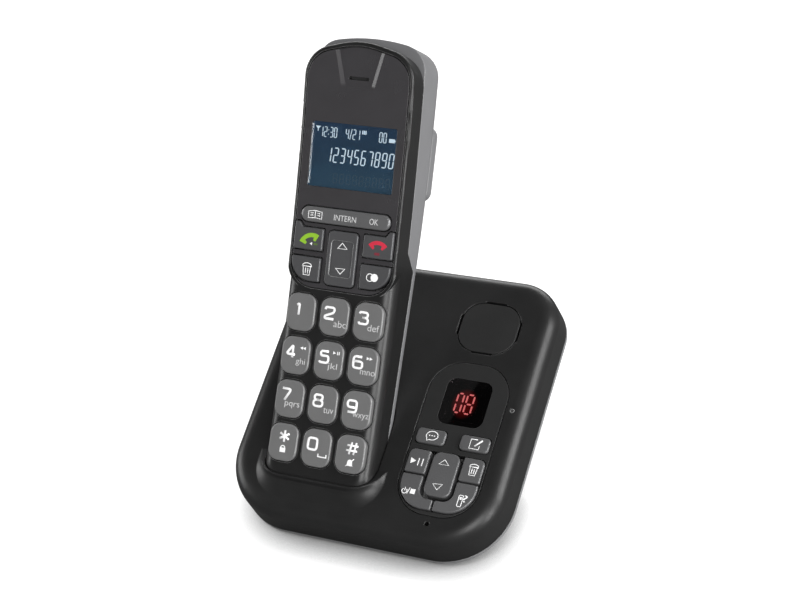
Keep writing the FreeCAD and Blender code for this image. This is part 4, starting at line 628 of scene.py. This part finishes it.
def box_run(left, low, right, high):
    """Corners of a rectangle."""
    return [(left, low), (right, low), (right, high), (left, high)]


def arc_run(middle, radius, start, end, steps=16):
    """Points along an arc, angles in degrees."""
    angles = [math.radians(start + (end - start) * k / steps) for k in range(steps + 1)]
    return [(middle[0] + radius * math.cos(a), middle[1] + radius * math.sin(a)) for a in angles]


def turned(run, angle, middle=(0, 0)):
    """The same points turned by degrees, then moved."""
    c, s = math.cos(math.radians(angle)), math.sin(math.radians(angle))
    return [(x * c - y * s + middle[0], x * s + y * c + middle[1]) for x, y in run]


def print_marks(name, body, place, marks, level=KEY_TOP):
    """Join marks drawn in millimetres into one piece, lay it on its key and let it ride there."""
    only(marks[0])
    for mark in marks[1:]:
        mark.select_set(True)
    if len(marks) > 1:
        bpy.ops.object.join()
    piece = bpy.context.view_layer.objects.active
    piece.name = piece.data.name = name
    piece.data.transform(place @ Matrix.Translation((0, 0, level * MM)) @ Matrix.Scale(MM, 4))
    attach(piece, body)
    return piece


print("shape helpers ready")

# %% [markdown]
# ## Inks
# The digits are a bright white print, the small letters a thinner and duller one, and two keys
# carry a green and a red telephone sign, each with a fainter mark below it. A little mottling keeps
# the print from looking like paint.

# %% Ink materials


def ink(name, colour):
    """Matt print with a little mottling."""
    return moulded_plastic(name, colour, 0.5, colour, depth=0.05, soft=0.01)


white_ink = ink("digit print", grey(0.95))
pale_ink = ink("letter print", grey(0.62))
green_ink = ink("green print", (0.26, 0.5, 0.02, 1))
faded_green = ink("faded green print", (0.1, 0.17, 0.03, 1))
red_ink = ink("red print", (0.6, 0.018, 0.05, 1))
faded_red = ink("faded red print", (0.2, 0.02, 0.035, 1))
print("inks: white, pale, two greens, two reds")

# %% [markdown]
# ## The twelve digit keys
# The digits are drawn as strokes in a unit box, with straight runs and generously rounded corners,
# so they keep one line width at any size. The letters beside them are plain text, fitted to the
# width that each group has on its key.

# %% Digit strokes
DIGIT_STROKES = {
    "0": ([(0, 0), (1, 0), (1, 1), (0, 1)],),
    "1": ([(0.1, 0.85), (0.55, 1), (0.55, 0)],),
    "2": ([(0, 0.78), (0.05, 1), (1, 1), (1, 0.58), (0, 0.22), (0, 0), (1, 0)],),
    "3": ([(0.02, 0.86), (0.1, 1), (0.93, 1), (0.93, 0.54), (0.35, 0.54)],
          [(0.35, 0.54), (1, 0.54), (1, 0), (0.08, 0), (0, 0.16)]),
    "4": ([(0.72, 0), (0.72, 1), (0.62, 1), (0, 0.27), (1, 0.27)],),
    "5": ([(0.95, 1), (0.1, 1), (0.1, 0.57), (1, 0.62), (1, 0), (0.1, 0), (0, 0.12)],),
    "6": ([(0.9, 1), (0, 1), (0, 0), (1, 0), (1, 0.58), (0, 0.58)],),
    "7": ([(0, 1), (1, 1), (0.35, 0)],),
    "8": ([(0.06, 0.54), (0.94, 0.54), (0.94, 1), (0.06, 1)],
          [(0, 0), (1, 0), (1, 0.54), (0, 0.54)]),
    "9": ([(0.1, 0), (1, 0), (1, 1), (0, 1), (0, 0.42), (1, 0.42)],),
}
LOOPED = "08"
DIGIT_STROKE, DIGIT_CORNER = 0.92, 1.15
DIGIT_HEIGHT, DIGIT_WIDTH, NARROW_WIDTH = 4.3, 3.7, 2.2


def digit_mark(digit, middle, width):
    """Large rounded digit about its middle."""
    closed = digit in LOOPED
    runs = []
    for run in DIGIT_STROKES[digit]:
        placed = [(middle[0] + (x - 0.5) * width, middle[1] + (y - 0.5) * DIGIT_HEIGHT)
                  for x, y in run]
        runs.append(rounded(placed, DIGIT_CORNER, closed))
    return stroke(runs, DIGIT_STROKE, white_ink, closed)


print("digits drawn by strokes:", "".join(DIGIT_STROKES))

# %% Keypad legends
KEY_LETTERS = {"2": ("abc", (2.7, -2.45), 5.1), "3": ("def", (2.5, -2.04), 4.75),
               "4": ("ghi", (2.5, -2.27), 3.8), "5": ("jkl", (1.84, -2.18), 3.95),
               "6": ("mno", (2.4, -2.3), 6.0), "7": ("pqrs", (1.5, -2.33), 6.2),
               "8": ("tuv", (2.7, -2.04), 4.1), "9": ("wxyz", (1.97, -2.24), 6.6)}
LETTER_HEIGHTS = {"ghi": 2.9, "jkl": 2.9, "mno": 1.6, "pqrs": 2.3, "tuv": 2.0, "wxyz": 2.3}
LETTER_WEIGHT = -0.005
DIGIT_MIDDLES = {"1": (-0.9, 1.0), "7": (-1.46, 1.45), "0": (-1.76, 1.37)}
COLUMN, ROW = 14.0, 16.52


def keypad_place(column, row):
    """Middle of a digit key."""
    return on_face(column * COLUMN, row * ROW)


def arrows(middle, pointing, count=2):
    """Small solid arrows in a row."""
    x, y = middle
    size = 0.6 * pointing
    shift = [(k - (count - 1) / 2) * 1.2 for k in range(count)]
    return [[(x + s - size, y - 0.6), (x + s + size, y), (x + s - size, y + 0.6)] for s in shift]


pause_bars = [box_run(x, 2.6, x + 0.35, 3.84) for x in (3.15, 3.85)]
SMALL_SIGNS = {"4": arrows((2.87, 3.12), -1), "5": arrows((2.1, 3.22), 1, 1) + pause_bars,
               "6": arrows((2.57, 3.09), 1),
               "0": [[(0.9, -1.9), (0.9, -3.2), (4.7, -3.2), (4.7, -1.9), (4.25, -1.9),
                      (4.25, -2.8), (1.35, -2.8), (1.35, -1.9)]]}
for digit in DIGIT_STROKES:
    row, column = (0, 0) if digit == "0" else (3 - (int(digit) - 1) // 3, (int(digit) - 1) % 3 - 1)
    marks = [digit_mark(digit, DIGIT_MIDDLES.get(digit, (-2.0, 1.2)),
                        NARROW_WIDTH if digit == "1" else DIGIT_WIDTH)]
    if digit in KEY_LETTERS:
        letters, middle, width = KEY_LETTERS[digit]
        marks.append(words(letters, middle, width, pale_ink, LETTER_HEIGHTS.get(letters, 2.5),
                           LETTER_WEIGHT))
    if digit in SMALL_SIGNS:
        marks.append(fill(SMALL_SIGNS[digit], white_ink))
    print_marks(f"key_{digit}_legend", f"key_{digit}", keypad_place(column, row), marks)
print("digit legends:", len(DIGIT_STROKES))

# %% [markdown]
# ## Star, hash and their small signs
# The star has six arms and the hash is slightly slanted. Below them are a padlock, for locking the
# keys, and a muted bell. Small signs like these are built from one or two filled outlines, because
# at this size only the outline can be read.

# %% Star and hash keys
star_arms = [turned([(0, 0), (0, 2.2)], 60 * k, (0.3, 2.3)) for k in range(6)]
padlock = [box_run(-0.9, -3.8, 1.4, -2.1),
           arc_run((0.25, -2.1), 1.0, 0, 180) + arc_run((0.25, -2.1), 0.62, 180, 0)]
print_marks("key_star_legend", "key_star", keypad_place(-1, 0),
            [stroke(star_arms, 0.85, white_ink), fill(padlock, white_ink)])
hash_lines = [[(-0.9, -2.3), (-0.1, 2.3)], [(0.9, -2.3), (1.7, 2.3)], [(-2.2, -0.9), (2.3, -0.9)],
              [(-1.9, 1.0), (2.6, 1.0)]]
hash_lines = [[(x + 0.4, y + 2.3) for x, y in run] for run in hash_lines]
bell = arc_run((0.42, -2.9), 1.0, 180, 0) + [(1.55, -4.0), (1.9, -4.3), (-1.05, -4.3), (-0.7, -4.0)]
bell_line = [[(-1.2, -4.6), (2.0, -1.5)]]
print_marks("key_hash_legend", "key_hash", keypad_place(1, 0),
            [stroke(hash_lines, 0.75, white_ink), fill([bell], white_ink),
             stroke(bell_line, 0.35, white_ink)])
print("star and hash legends done")

# %% [markdown]
# ## Keys under the display
# Four keys and a rocker stand in the cluster. The call and end keys carry a telephone handset, made
# of one outline: an outer arc, two ear cups and an inner arc. Erase has a bin, and redial a ring
# that a disc overlaps. The rocker has a hollow triangle at each end.

# %% Function key signs
CLUSTER = on_face(0, CLUSTER_Y)
ROCKER_DISH = 0.3


def handset_sign(middle, angle, scale):
    """Telephone handset seen from the side, as one outline."""
    centre = (0, -3.6)
    run = (arc_run(centre, 4.9, 138, 42) + arc_run(centre, 2.5, 42, 62, 5)
           + arc_run(centre, 3.5, 62, 118, 10) + arc_run(centre, 2.5, 118, 138, 5))
    return turned([(x * scale, y * scale) for x, y in run], angle, middle)


def bin_sign(left, low, right, high):
    """Bin drawn in lines: a tapered body, a round lid and two slots."""
    wide, tall = right - left, high - low
    top = low + tall * 0.72
    middle = (left + right) / 2
    body = [(left + wide * 0.06, top), (left + wide * 0.16, low), (right - wide * 0.16, low),
            (right - wide * 0.06, top)]
    lid = arc_run((middle, top + tall * 0.05), wide * 0.5, 180, 0)
    lid = [(x, top + tall * 0.05 + (y - top - tall * 0.05) * 0.55) for x, y in lid]
    slots = [[(middle + wide * k, low + tall * 0.12), (middle + wide * k, low + tall * 0.58)]
             for k in (-0.13, 0.13)]
    brim = [(left - wide * 0.06, top), (right + wide * 0.06, top)]
    return stroke([body, lid, brim] + slots, 0.34, white_ink)


print_marks("call_key_legend", "call_key", CLUSTER,
            [fill([handset_sign((-14.0, 6.6), 20, 1.15)], green_ink),
             fill([[(-12.5, 3.7), (-13.5, 4.3), (-12.5, 4.9)]], white_ink),
             fill([box_run(-11.9, 4.0, -10.2, 4.6)], faded_green)])
print_marks("end_key_legend", "end_key", CLUSTER,
            [fill([handset_sign((14.4, 7.2), 0, 1.05)], red_ink),
             fill([rounded(box_run(13.3, 3.2, 15.5, 4.2), 0.45, True)], faded_red)])
print_marks("erase_key_legend", "erase_key", CLUSTER, [bin_sign(-15.4, -7.6, -11.8, -3.0)])
print_marks("redial_key_legend", "redial_key", CLUSTER,
            [stroke([arc_run((12.6, -5.25), 1.4, 0, 345)], 0.34, white_ink, True),
             fill([arc_run((14.4, -5.15), 1.5, 0, 345)], white_ink)])
up_sign = [(-0.1, 6.0), (-1.95, 3.8), (2.0, 3.9)]
down_sign = [(0.2, -5.6), (-1.9, -3.6), (2.0, -3.5)]
print_marks("navigation_rocker_legend", "navigation_rocker", CLUSTER,
            [stroke([up_sign, down_sign], 0.45, white_ink, True)], KEY_TOP - ROCKER_DISH)
print("function key signs done")

# %% [markdown]
# ## Softkey bar
# The silver bar under the display rocks to either side. It carries an open book for the directory
# in white print, and a plain function word and OK in the paler print of the letters.

# %% Softkey bar signs
BAR = on_face(0, BAR_Y)
book = [[(-12.4, -1.25), (-15.2, -1.55), (-15.2, 1.05), (-12.4, 1.45), (-9.6, 1.05),
         (-9.6, -1.55), (-12.4, -1.25)], [(-12.4, -1.25), (-12.4, 1.45)],
        [(-14.4, 0.35), (-13.2, 0.5)], [(-14.4, -0.45), (-13.2, -0.3)],
        [(-11.6, 0.5), (-10.4, 0.35)], [(-11.6, -0.3), (-10.4, -0.45)]]
print_marks("softkey_bar_legend", "softkey_bar", BAR,
            [stroke(book, 0.3, white_ink), words("INTERN", (0, -0.24), 9.1, pale_ink, 2.1),
             words("OK", (11.8, -0.1), 3.5, pale_ink, 2.2)])
print("softkey signs done")

# %% [markdown]
# ## Keys of the base
# The base's keys start, stop and erase the messages. Each has a plain sign: a speech bubble for the
# announcement, a note and pencil for a memo, a triangle and two bars for play and pause, a power
# sign and a square for on and stop, a bin, and a handset with a question mark that calls the
# handset.

# %% Base key signs
PANEL_SHIFT = -1.3
PANEL = SLAB @ place_at(PANEL_X, PANEL_SHIFT, 0)
bubble = [(x, -13.4 + (y + 13.4) * 0.76) for x, y in arc_run((-8.3, -13.4), 2.3, 250, 570, 32)]
bubble += [(-9.9, -15.6)]
dots = [arc_run((x, -13.4), 0.26, 0, 330, 10) for x in (-9.3, -8.3, -7.3)]
print_marks("announcement_key_legend", "announcement_key", PANEL,
            [stroke([bubble], 0.34, white_ink, True), fill(dots, white_ink)])
note = [(9.6, -11.9), (7.1, -11.9), (7.1, -15.7), (10.9, -15.7), (10.9, -14.2)]
print_marks("memo_key_legend", "memo_key", PANEL,
            [stroke([note], 0.34, white_ink),
             stroke([[(9.0, -14.6), (11.6, -11.9)]], 0.62, white_ink)])
play = [[(-13.6, -23.2), (-13.3, -25.6), (-11.3, -24.3)], box_run(-10.5, -26.0, -10.1, -23.0),
        box_run(-8.9, -26.0, -8.5, -23.0)]
print_marks("play_key_legend", "play_key", PANEL, [fill(play, white_ink)])
power = [arc_run((-12.1, -36.6), 1.0, 125, 415, 20), [(-12.1, -36.5), (-12.1, -35.1)],
         [(-10.9, -37.6), (-10.3, -35.0)]]
print_marks("stop_key_legend", "stop_key", PANEL,
            [stroke(power, 0.32, white_ink), fill([box_run(-9.8, -37.3, -7.9, -35.4)], white_ink)])
print_marks("delete_key_legend", "delete_key", PANEL, [bin_sign(9.7, -26.0, 13.0, -21.4)])
phone = rounded(box_run(9.2, -38.7, 10.8, -34.3), 0.4, True)
print_marks("find_key_legend", "find_key", PANEL,
            [stroke([phone], 0.3, white_ink, True),
             fill([box_run(9.6, -36.0, 10.4, -35.0)], white_ink),
             words("?", (11.8, -35.4), 1.5, white_ink, 2.7)])
louder = [(-0.4, -21.9), (-2.3, -23.9), (1.7, -23.9)]
softer = [(-2.2, -31.9), (1.6, -31.6), (0.0, -34.0)]
print_marks("volume_rocker_legend", "volume_rocker", PANEL,
            [stroke([louder, softer], 0.36, white_ink, True)])
print("base key signs done")

# %% [markdown]
# ## Lit digits
# Both displays use bar digits. One helper gives the outlines of a digit's lit bars with pointed
# ends and small gaps; a slant can be added, as on the large line of the blue display. The bars are
# emission, so that they stay readable under the glass.

# %% Bar digits
LIT_BARS = {"0": "abcdef", "1": "bc", "2": "abdeg", "3": "abcdg", "4": "bcfg", "5": "acdfg",
            "6": "acdefg", "7": "abc", "8": "abcdefg", "9": "abcdfg"}


def bar_digit(digit, x, y, width, height, line, gap, slant=0.0):
    """Outlines of a digit's lit bars; x, y is the lower left corner."""
    half = line / 2
    left, right, low, high = x + half, x + width - half, y + half, y + height - half
    middle = (low + high) / 2
    ends = {"a": (left, high, right, high), "b": (right, middle, right, high),
            "c": (right, low, right, middle), "d": (left, low, right, low),
            "e": (left, low, left, middle), "f": (left, middle, left, high),
            "g": (left, middle, right, middle)}
    runs = []
    for name in LIT_BARS[digit]:
        x0, y0, x1, y1 = ends[name]
        length = (x1 - x0) + (y1 - y0) - 2 * gap
        bar = [(0, 0), (half, half), (length - half, half), (length, 0), (length - half, -half),
               (half, -half)]
        angle = 90 if x0 == x1 else 0
        start = (x0, y0 + gap) if angle else (x0 + gap, y0)
        runs.append([(px + (py - y) * slant, py) for px, py in turned(bar, angle, start)])
    return runs


def lit_ink(name, colour, strength):
    """Light from a display's bars, a little uneven."""
    material, tree, shader = start_material(name)
    surface = use_group(tree, moulded_grain, {"Colour": colour, "Mottle": 0.25, "Grain Depth": 0.0})
    link(tree, (surface.outputs["Colour"], shader.inputs["Emission Color"]))
    shader.inputs["Emission Strength"].default_value = strength
    shader.inputs["Base Color"].default_value = (0.02, 0.02, 0.02, 1)
    return material


red_light = lit_ink("red digit light", (1.0, 0.27, 0.25, 1), 4.2)
COUNTER_LOW, COUNTER_HEIGHT, COUNTER_LINE, COUNTER_GAP = -4.2, 8.5, 0.62, 0.42
COUNTER_LEVEL = -INLAY - 0.1
counter_runs = []
for digit, left, width in (("0", -4.3, 3.0), ("8", -0.5, 3.4)):
    counter_runs += bar_digit(digit, left, COUNTER_LOW, width, COUNTER_HEIGHT, COUNTER_LINE,
                              gap=COUNTER_GAP)
print_marks("counter_digits", "base", SLAB @ place_at(PANEL_X, WINDOW_Y, 0),
            [fill(counter_runs, red_light)], level=COUNTER_LEVEL)
print("counter shows 08")

# %% Blue display
pale_light = lit_ink("display segment light", (0.37, 0.45, 0.51, 1), 1.7)
faint_light = lit_ink("unlit display segments", (0.024, 0.055, 0.085, 1), 1.0)
BIG_X, BIG_Y, BIG_PITCH, BIG_WIDTH, BIG_HEIGHT, BIG_LINE = -11.14, -2.7, 2.84, 2.05, 5.7, 0.42
SMALL_WIDTH, SMALL_HEIGHT, SMALL_LINE, SMALL_PITCH = 1.35, 3.9, 0.3, 1.68
SEGMENT_LEVEL = -1.27
runs = []
for i, digit in enumerate("1234567890"):
    runs += bar_digit(digit, BIG_X + BIG_PITCH * i, BIG_Y, BIG_WIDTH, BIG_HEIGHT, BIG_LINE,
                      gap=0.06, slant=0.07)
small = {"12:30": (-14.5, 6.5), "4/21": (-3.8, 6.5), "00": (9.9, 6.5)}
for text, (x, y) in small.items():
    for sign in text:
        if sign == ":":
            runs += [box_run(x + 0.1, y + low, x + 0.4, y + low + 0.3) for low in (1.0, 2.6)]
            x += 0.8
        elif sign == "/":
            top = y + SMALL_HEIGHT
            runs += [[(x, y), (x + 0.28, y), (x + 0.95, top), (x + 0.67, top)]]
            x += 1.2
        else:
            runs += bar_digit(sign, x, y, SMALL_WIDTH, SMALL_HEIGHT, SMALL_LINE, gap=0.05)
            x += SMALL_PITCH
signal = [[(-16.4, 10.4), (-14.2, 10.4), (-15.3, 9.2)], box_run(-15.45, 8.5, -15.15, 9.3)]
blocks = [box_run(2.9 + 0.65 * k, 8.9, 3.35 + 0.65 * k, 10.3) for k in range(3)]
battery = [box_run(14.0, 6.9, 16.3, 8.3), box_run(16.35, 7.3, 16.6, 7.9)]
GHOST_X, GHOST_Y, GHOST_PITCH = -7.6, -10.4, 2.7
ghost = []
for i in range(9):
    ghost += bar_digit("8", GHOST_X + GHOST_PITCH * i, GHOST_Y, 1.9, SMALL_HEIGHT, 0.35, gap=0.06)
print_marks("display_segments", "handset", LCD,
            [fill(runs + signal + blocks + battery, pale_light), fill(ghost, faint_light)],
            level=SEGMENT_LEVEL)
print("blue display: time, date and a number")

# %% [markdown]
# ## Floor, world and lamps
# The set is a plain white table. Light Path lets the floor look white to the camera and through
# glass, and gives reflections a weaker part of it, while it lights the object only as a mid grey
# table would. Ambient occlusion darkens the table close to the base, as a contact shadow does.

# %% Floor and world
bpy.ops.object.select_all(action="DESELECT")
FLOOR_SIZE = 8.0
TABLE_GREY, MIRRORED_GREY, MIRRORED_WHITE = 0.3, 0.04, 0.12
CONTACT_REACH = 18 * MM
bpy.ops.mesh.primitive_plane_add(size=FLOOR_SIZE, location=(0, 0, 0))
floor = bpy.context.active_object
floor.name = "floor"
floor_material, tree, shader = start_material("white table")
shader.inputs["Roughness"].default_value = 1.0
shader.inputs["Specular IOR Level"].default_value = 0.0
shader.inputs["Emission Color"].default_value = (1, 1, 1, 1)
path = add_node(tree, "LightPath")
seen = add_node(tree, "Math", operation="MAXIMUM")
seen_too = add_node(tree, "Math", operation="MAXIMUM")
mirrored_part = add_node(tree, "Math", {1: MIRRORED_WHITE}, operation="MULTIPLY")
paint = add_node(tree, "Mix", {6: grey(TABLE_GREY), 7: grey(MIRRORED_GREY)}, data_type="RGBA")
openness = add_node(tree, "AmbientOcclusion", {"Distance": CONTACT_REACH}, samples=8)
contact = add_node(tree, "MapRange", {"From Min": 0.3, "From Max": 0.85})
white = add_node(tree, "Math", operation="MULTIPLY")
link(tree, (path.outputs["Is Camera Ray"], seen.inputs[0]),
     (path.outputs["Is Transmission Ray"], seen.inputs[1]),
     (path.outputs["Is Glossy Ray"], mirrored_part.inputs[0]),
     (path.outputs["Is Glossy Ray"], paint.inputs[0]),
     (paint.outputs[2], shader.inputs["Base Color"]), (seen, seen_too.inputs[0]),
     (mirrored_part, seen_too.inputs[1]), (openness.outputs["AO"], contact.inputs["Value"]),
     (seen_too, white.inputs[0]), (contact, white.inputs[1]),
     (white, shader.inputs["Emission Strength"]))
floor.data.materials.append(floor_material)

AMBIENT = 0.45
HORIZON_GLOSS, ZENITH_GLOSS = 0.3, 0.03
world = bpy.data.worlds.new("studio")
scene.world = world
world.use_nodes = True
tree = world.node_tree
background = tree.nodes["Background"]
path = add_node(tree, "LightPath")
where = add_node(tree, "TexCoord")
parts = add_node(tree, "SeparateXYZ")
dimming = add_node(tree, "MapRange", {"From Max": 0.6, "To Min": HORIZON_GLOSS,
                                      "To Max": ZENITH_GLOSS})
ambient = add_node(tree, "Math", {1: AMBIENT}, operation="MULTIPLY")
glossy_part = add_node(tree, "Math", operation="MULTIPLY")
strength = add_node(tree, "Math", operation="ADD")
strongest = add_node(tree, "Math", operation="MAXIMUM")
link(tree, (where.outputs["Generated"], parts.inputs[0]),
     (parts.outputs["Z"], dimming.inputs["Value"]),
     (path.outputs["Is Diffuse Ray"], ambient.inputs[0]),
     (path.outputs["Is Glossy Ray"], glossy_part.inputs[0]), (dimming, glossy_part.inputs[1]),
     (ambient, strength.inputs[0]), (glossy_part, strength.inputs[1]),
     (strength, strongest.inputs[0]), (path.outputs["Is Camera Ray"], strongest.inputs[1]),
     (strongest, background.inputs["Strength"]))
background.inputs["Color"].default_value = (1, 1, 1, 1)
print("floor and world: white to the camera")

# %% [markdown]
# ## Lamps
# The polished window mirrors the ceiling on the left, so a wide, weak panel hangs there, level but
# turned, and its edge crosses the window as a slanted line. The main light stands near the camera,
# where no flat face mirrors it. A strip behind the object draws the light line along its back edge.
# Two strips on the right do the same for the right edges: a high one for the base and a low one for
# the handset. A panel low on the left lights the handset's left edge.

# %% Lamps
AIM = Vector((0.0, 0.0, 0.06))
CEILING_TURN = -29.4


def lamp(name, place, size, power):
    """Rectangular soft light that faces the object."""
    data = bpy.data.lights.new(name, "AREA")
    data.shape = "RECTANGLE"
    data.size, data.size_y = size
    data.energy = power
    made = bpy.data.objects.new(name, data)
    made.location = place
    made.rotation_euler = (AIM - Vector(place)).to_track_quat("-Z", "Y").to_euler()
    scene.collection.objects.link(made)
    return made


lamp("main_softbox", (0.88, -1.04, 0.86), (0.7, 0.7), 12.5)
lamp("back_strip", (-0.35, 1.0, 0.3), (1.5, 0.4), 7.5)
lamp("right_strip", (1.25, 0.25, 0.6), (0.26, 0.9), 12.0)
lamp("side_strip", (1.15, -0.4, 0.31), (0.22, 0.6), 6.5)
lamp("left_panel", (-1.0, -0.1, 0.12), (0.5, 0.8), 5.5)
ceiling = lamp("ceiling_panel", (-1.547, 0.0, 1.2), (2.0, 2.6), 2.3)
ceiling.rotation_euler = (0, 0, math.radians(CEILING_TURN))
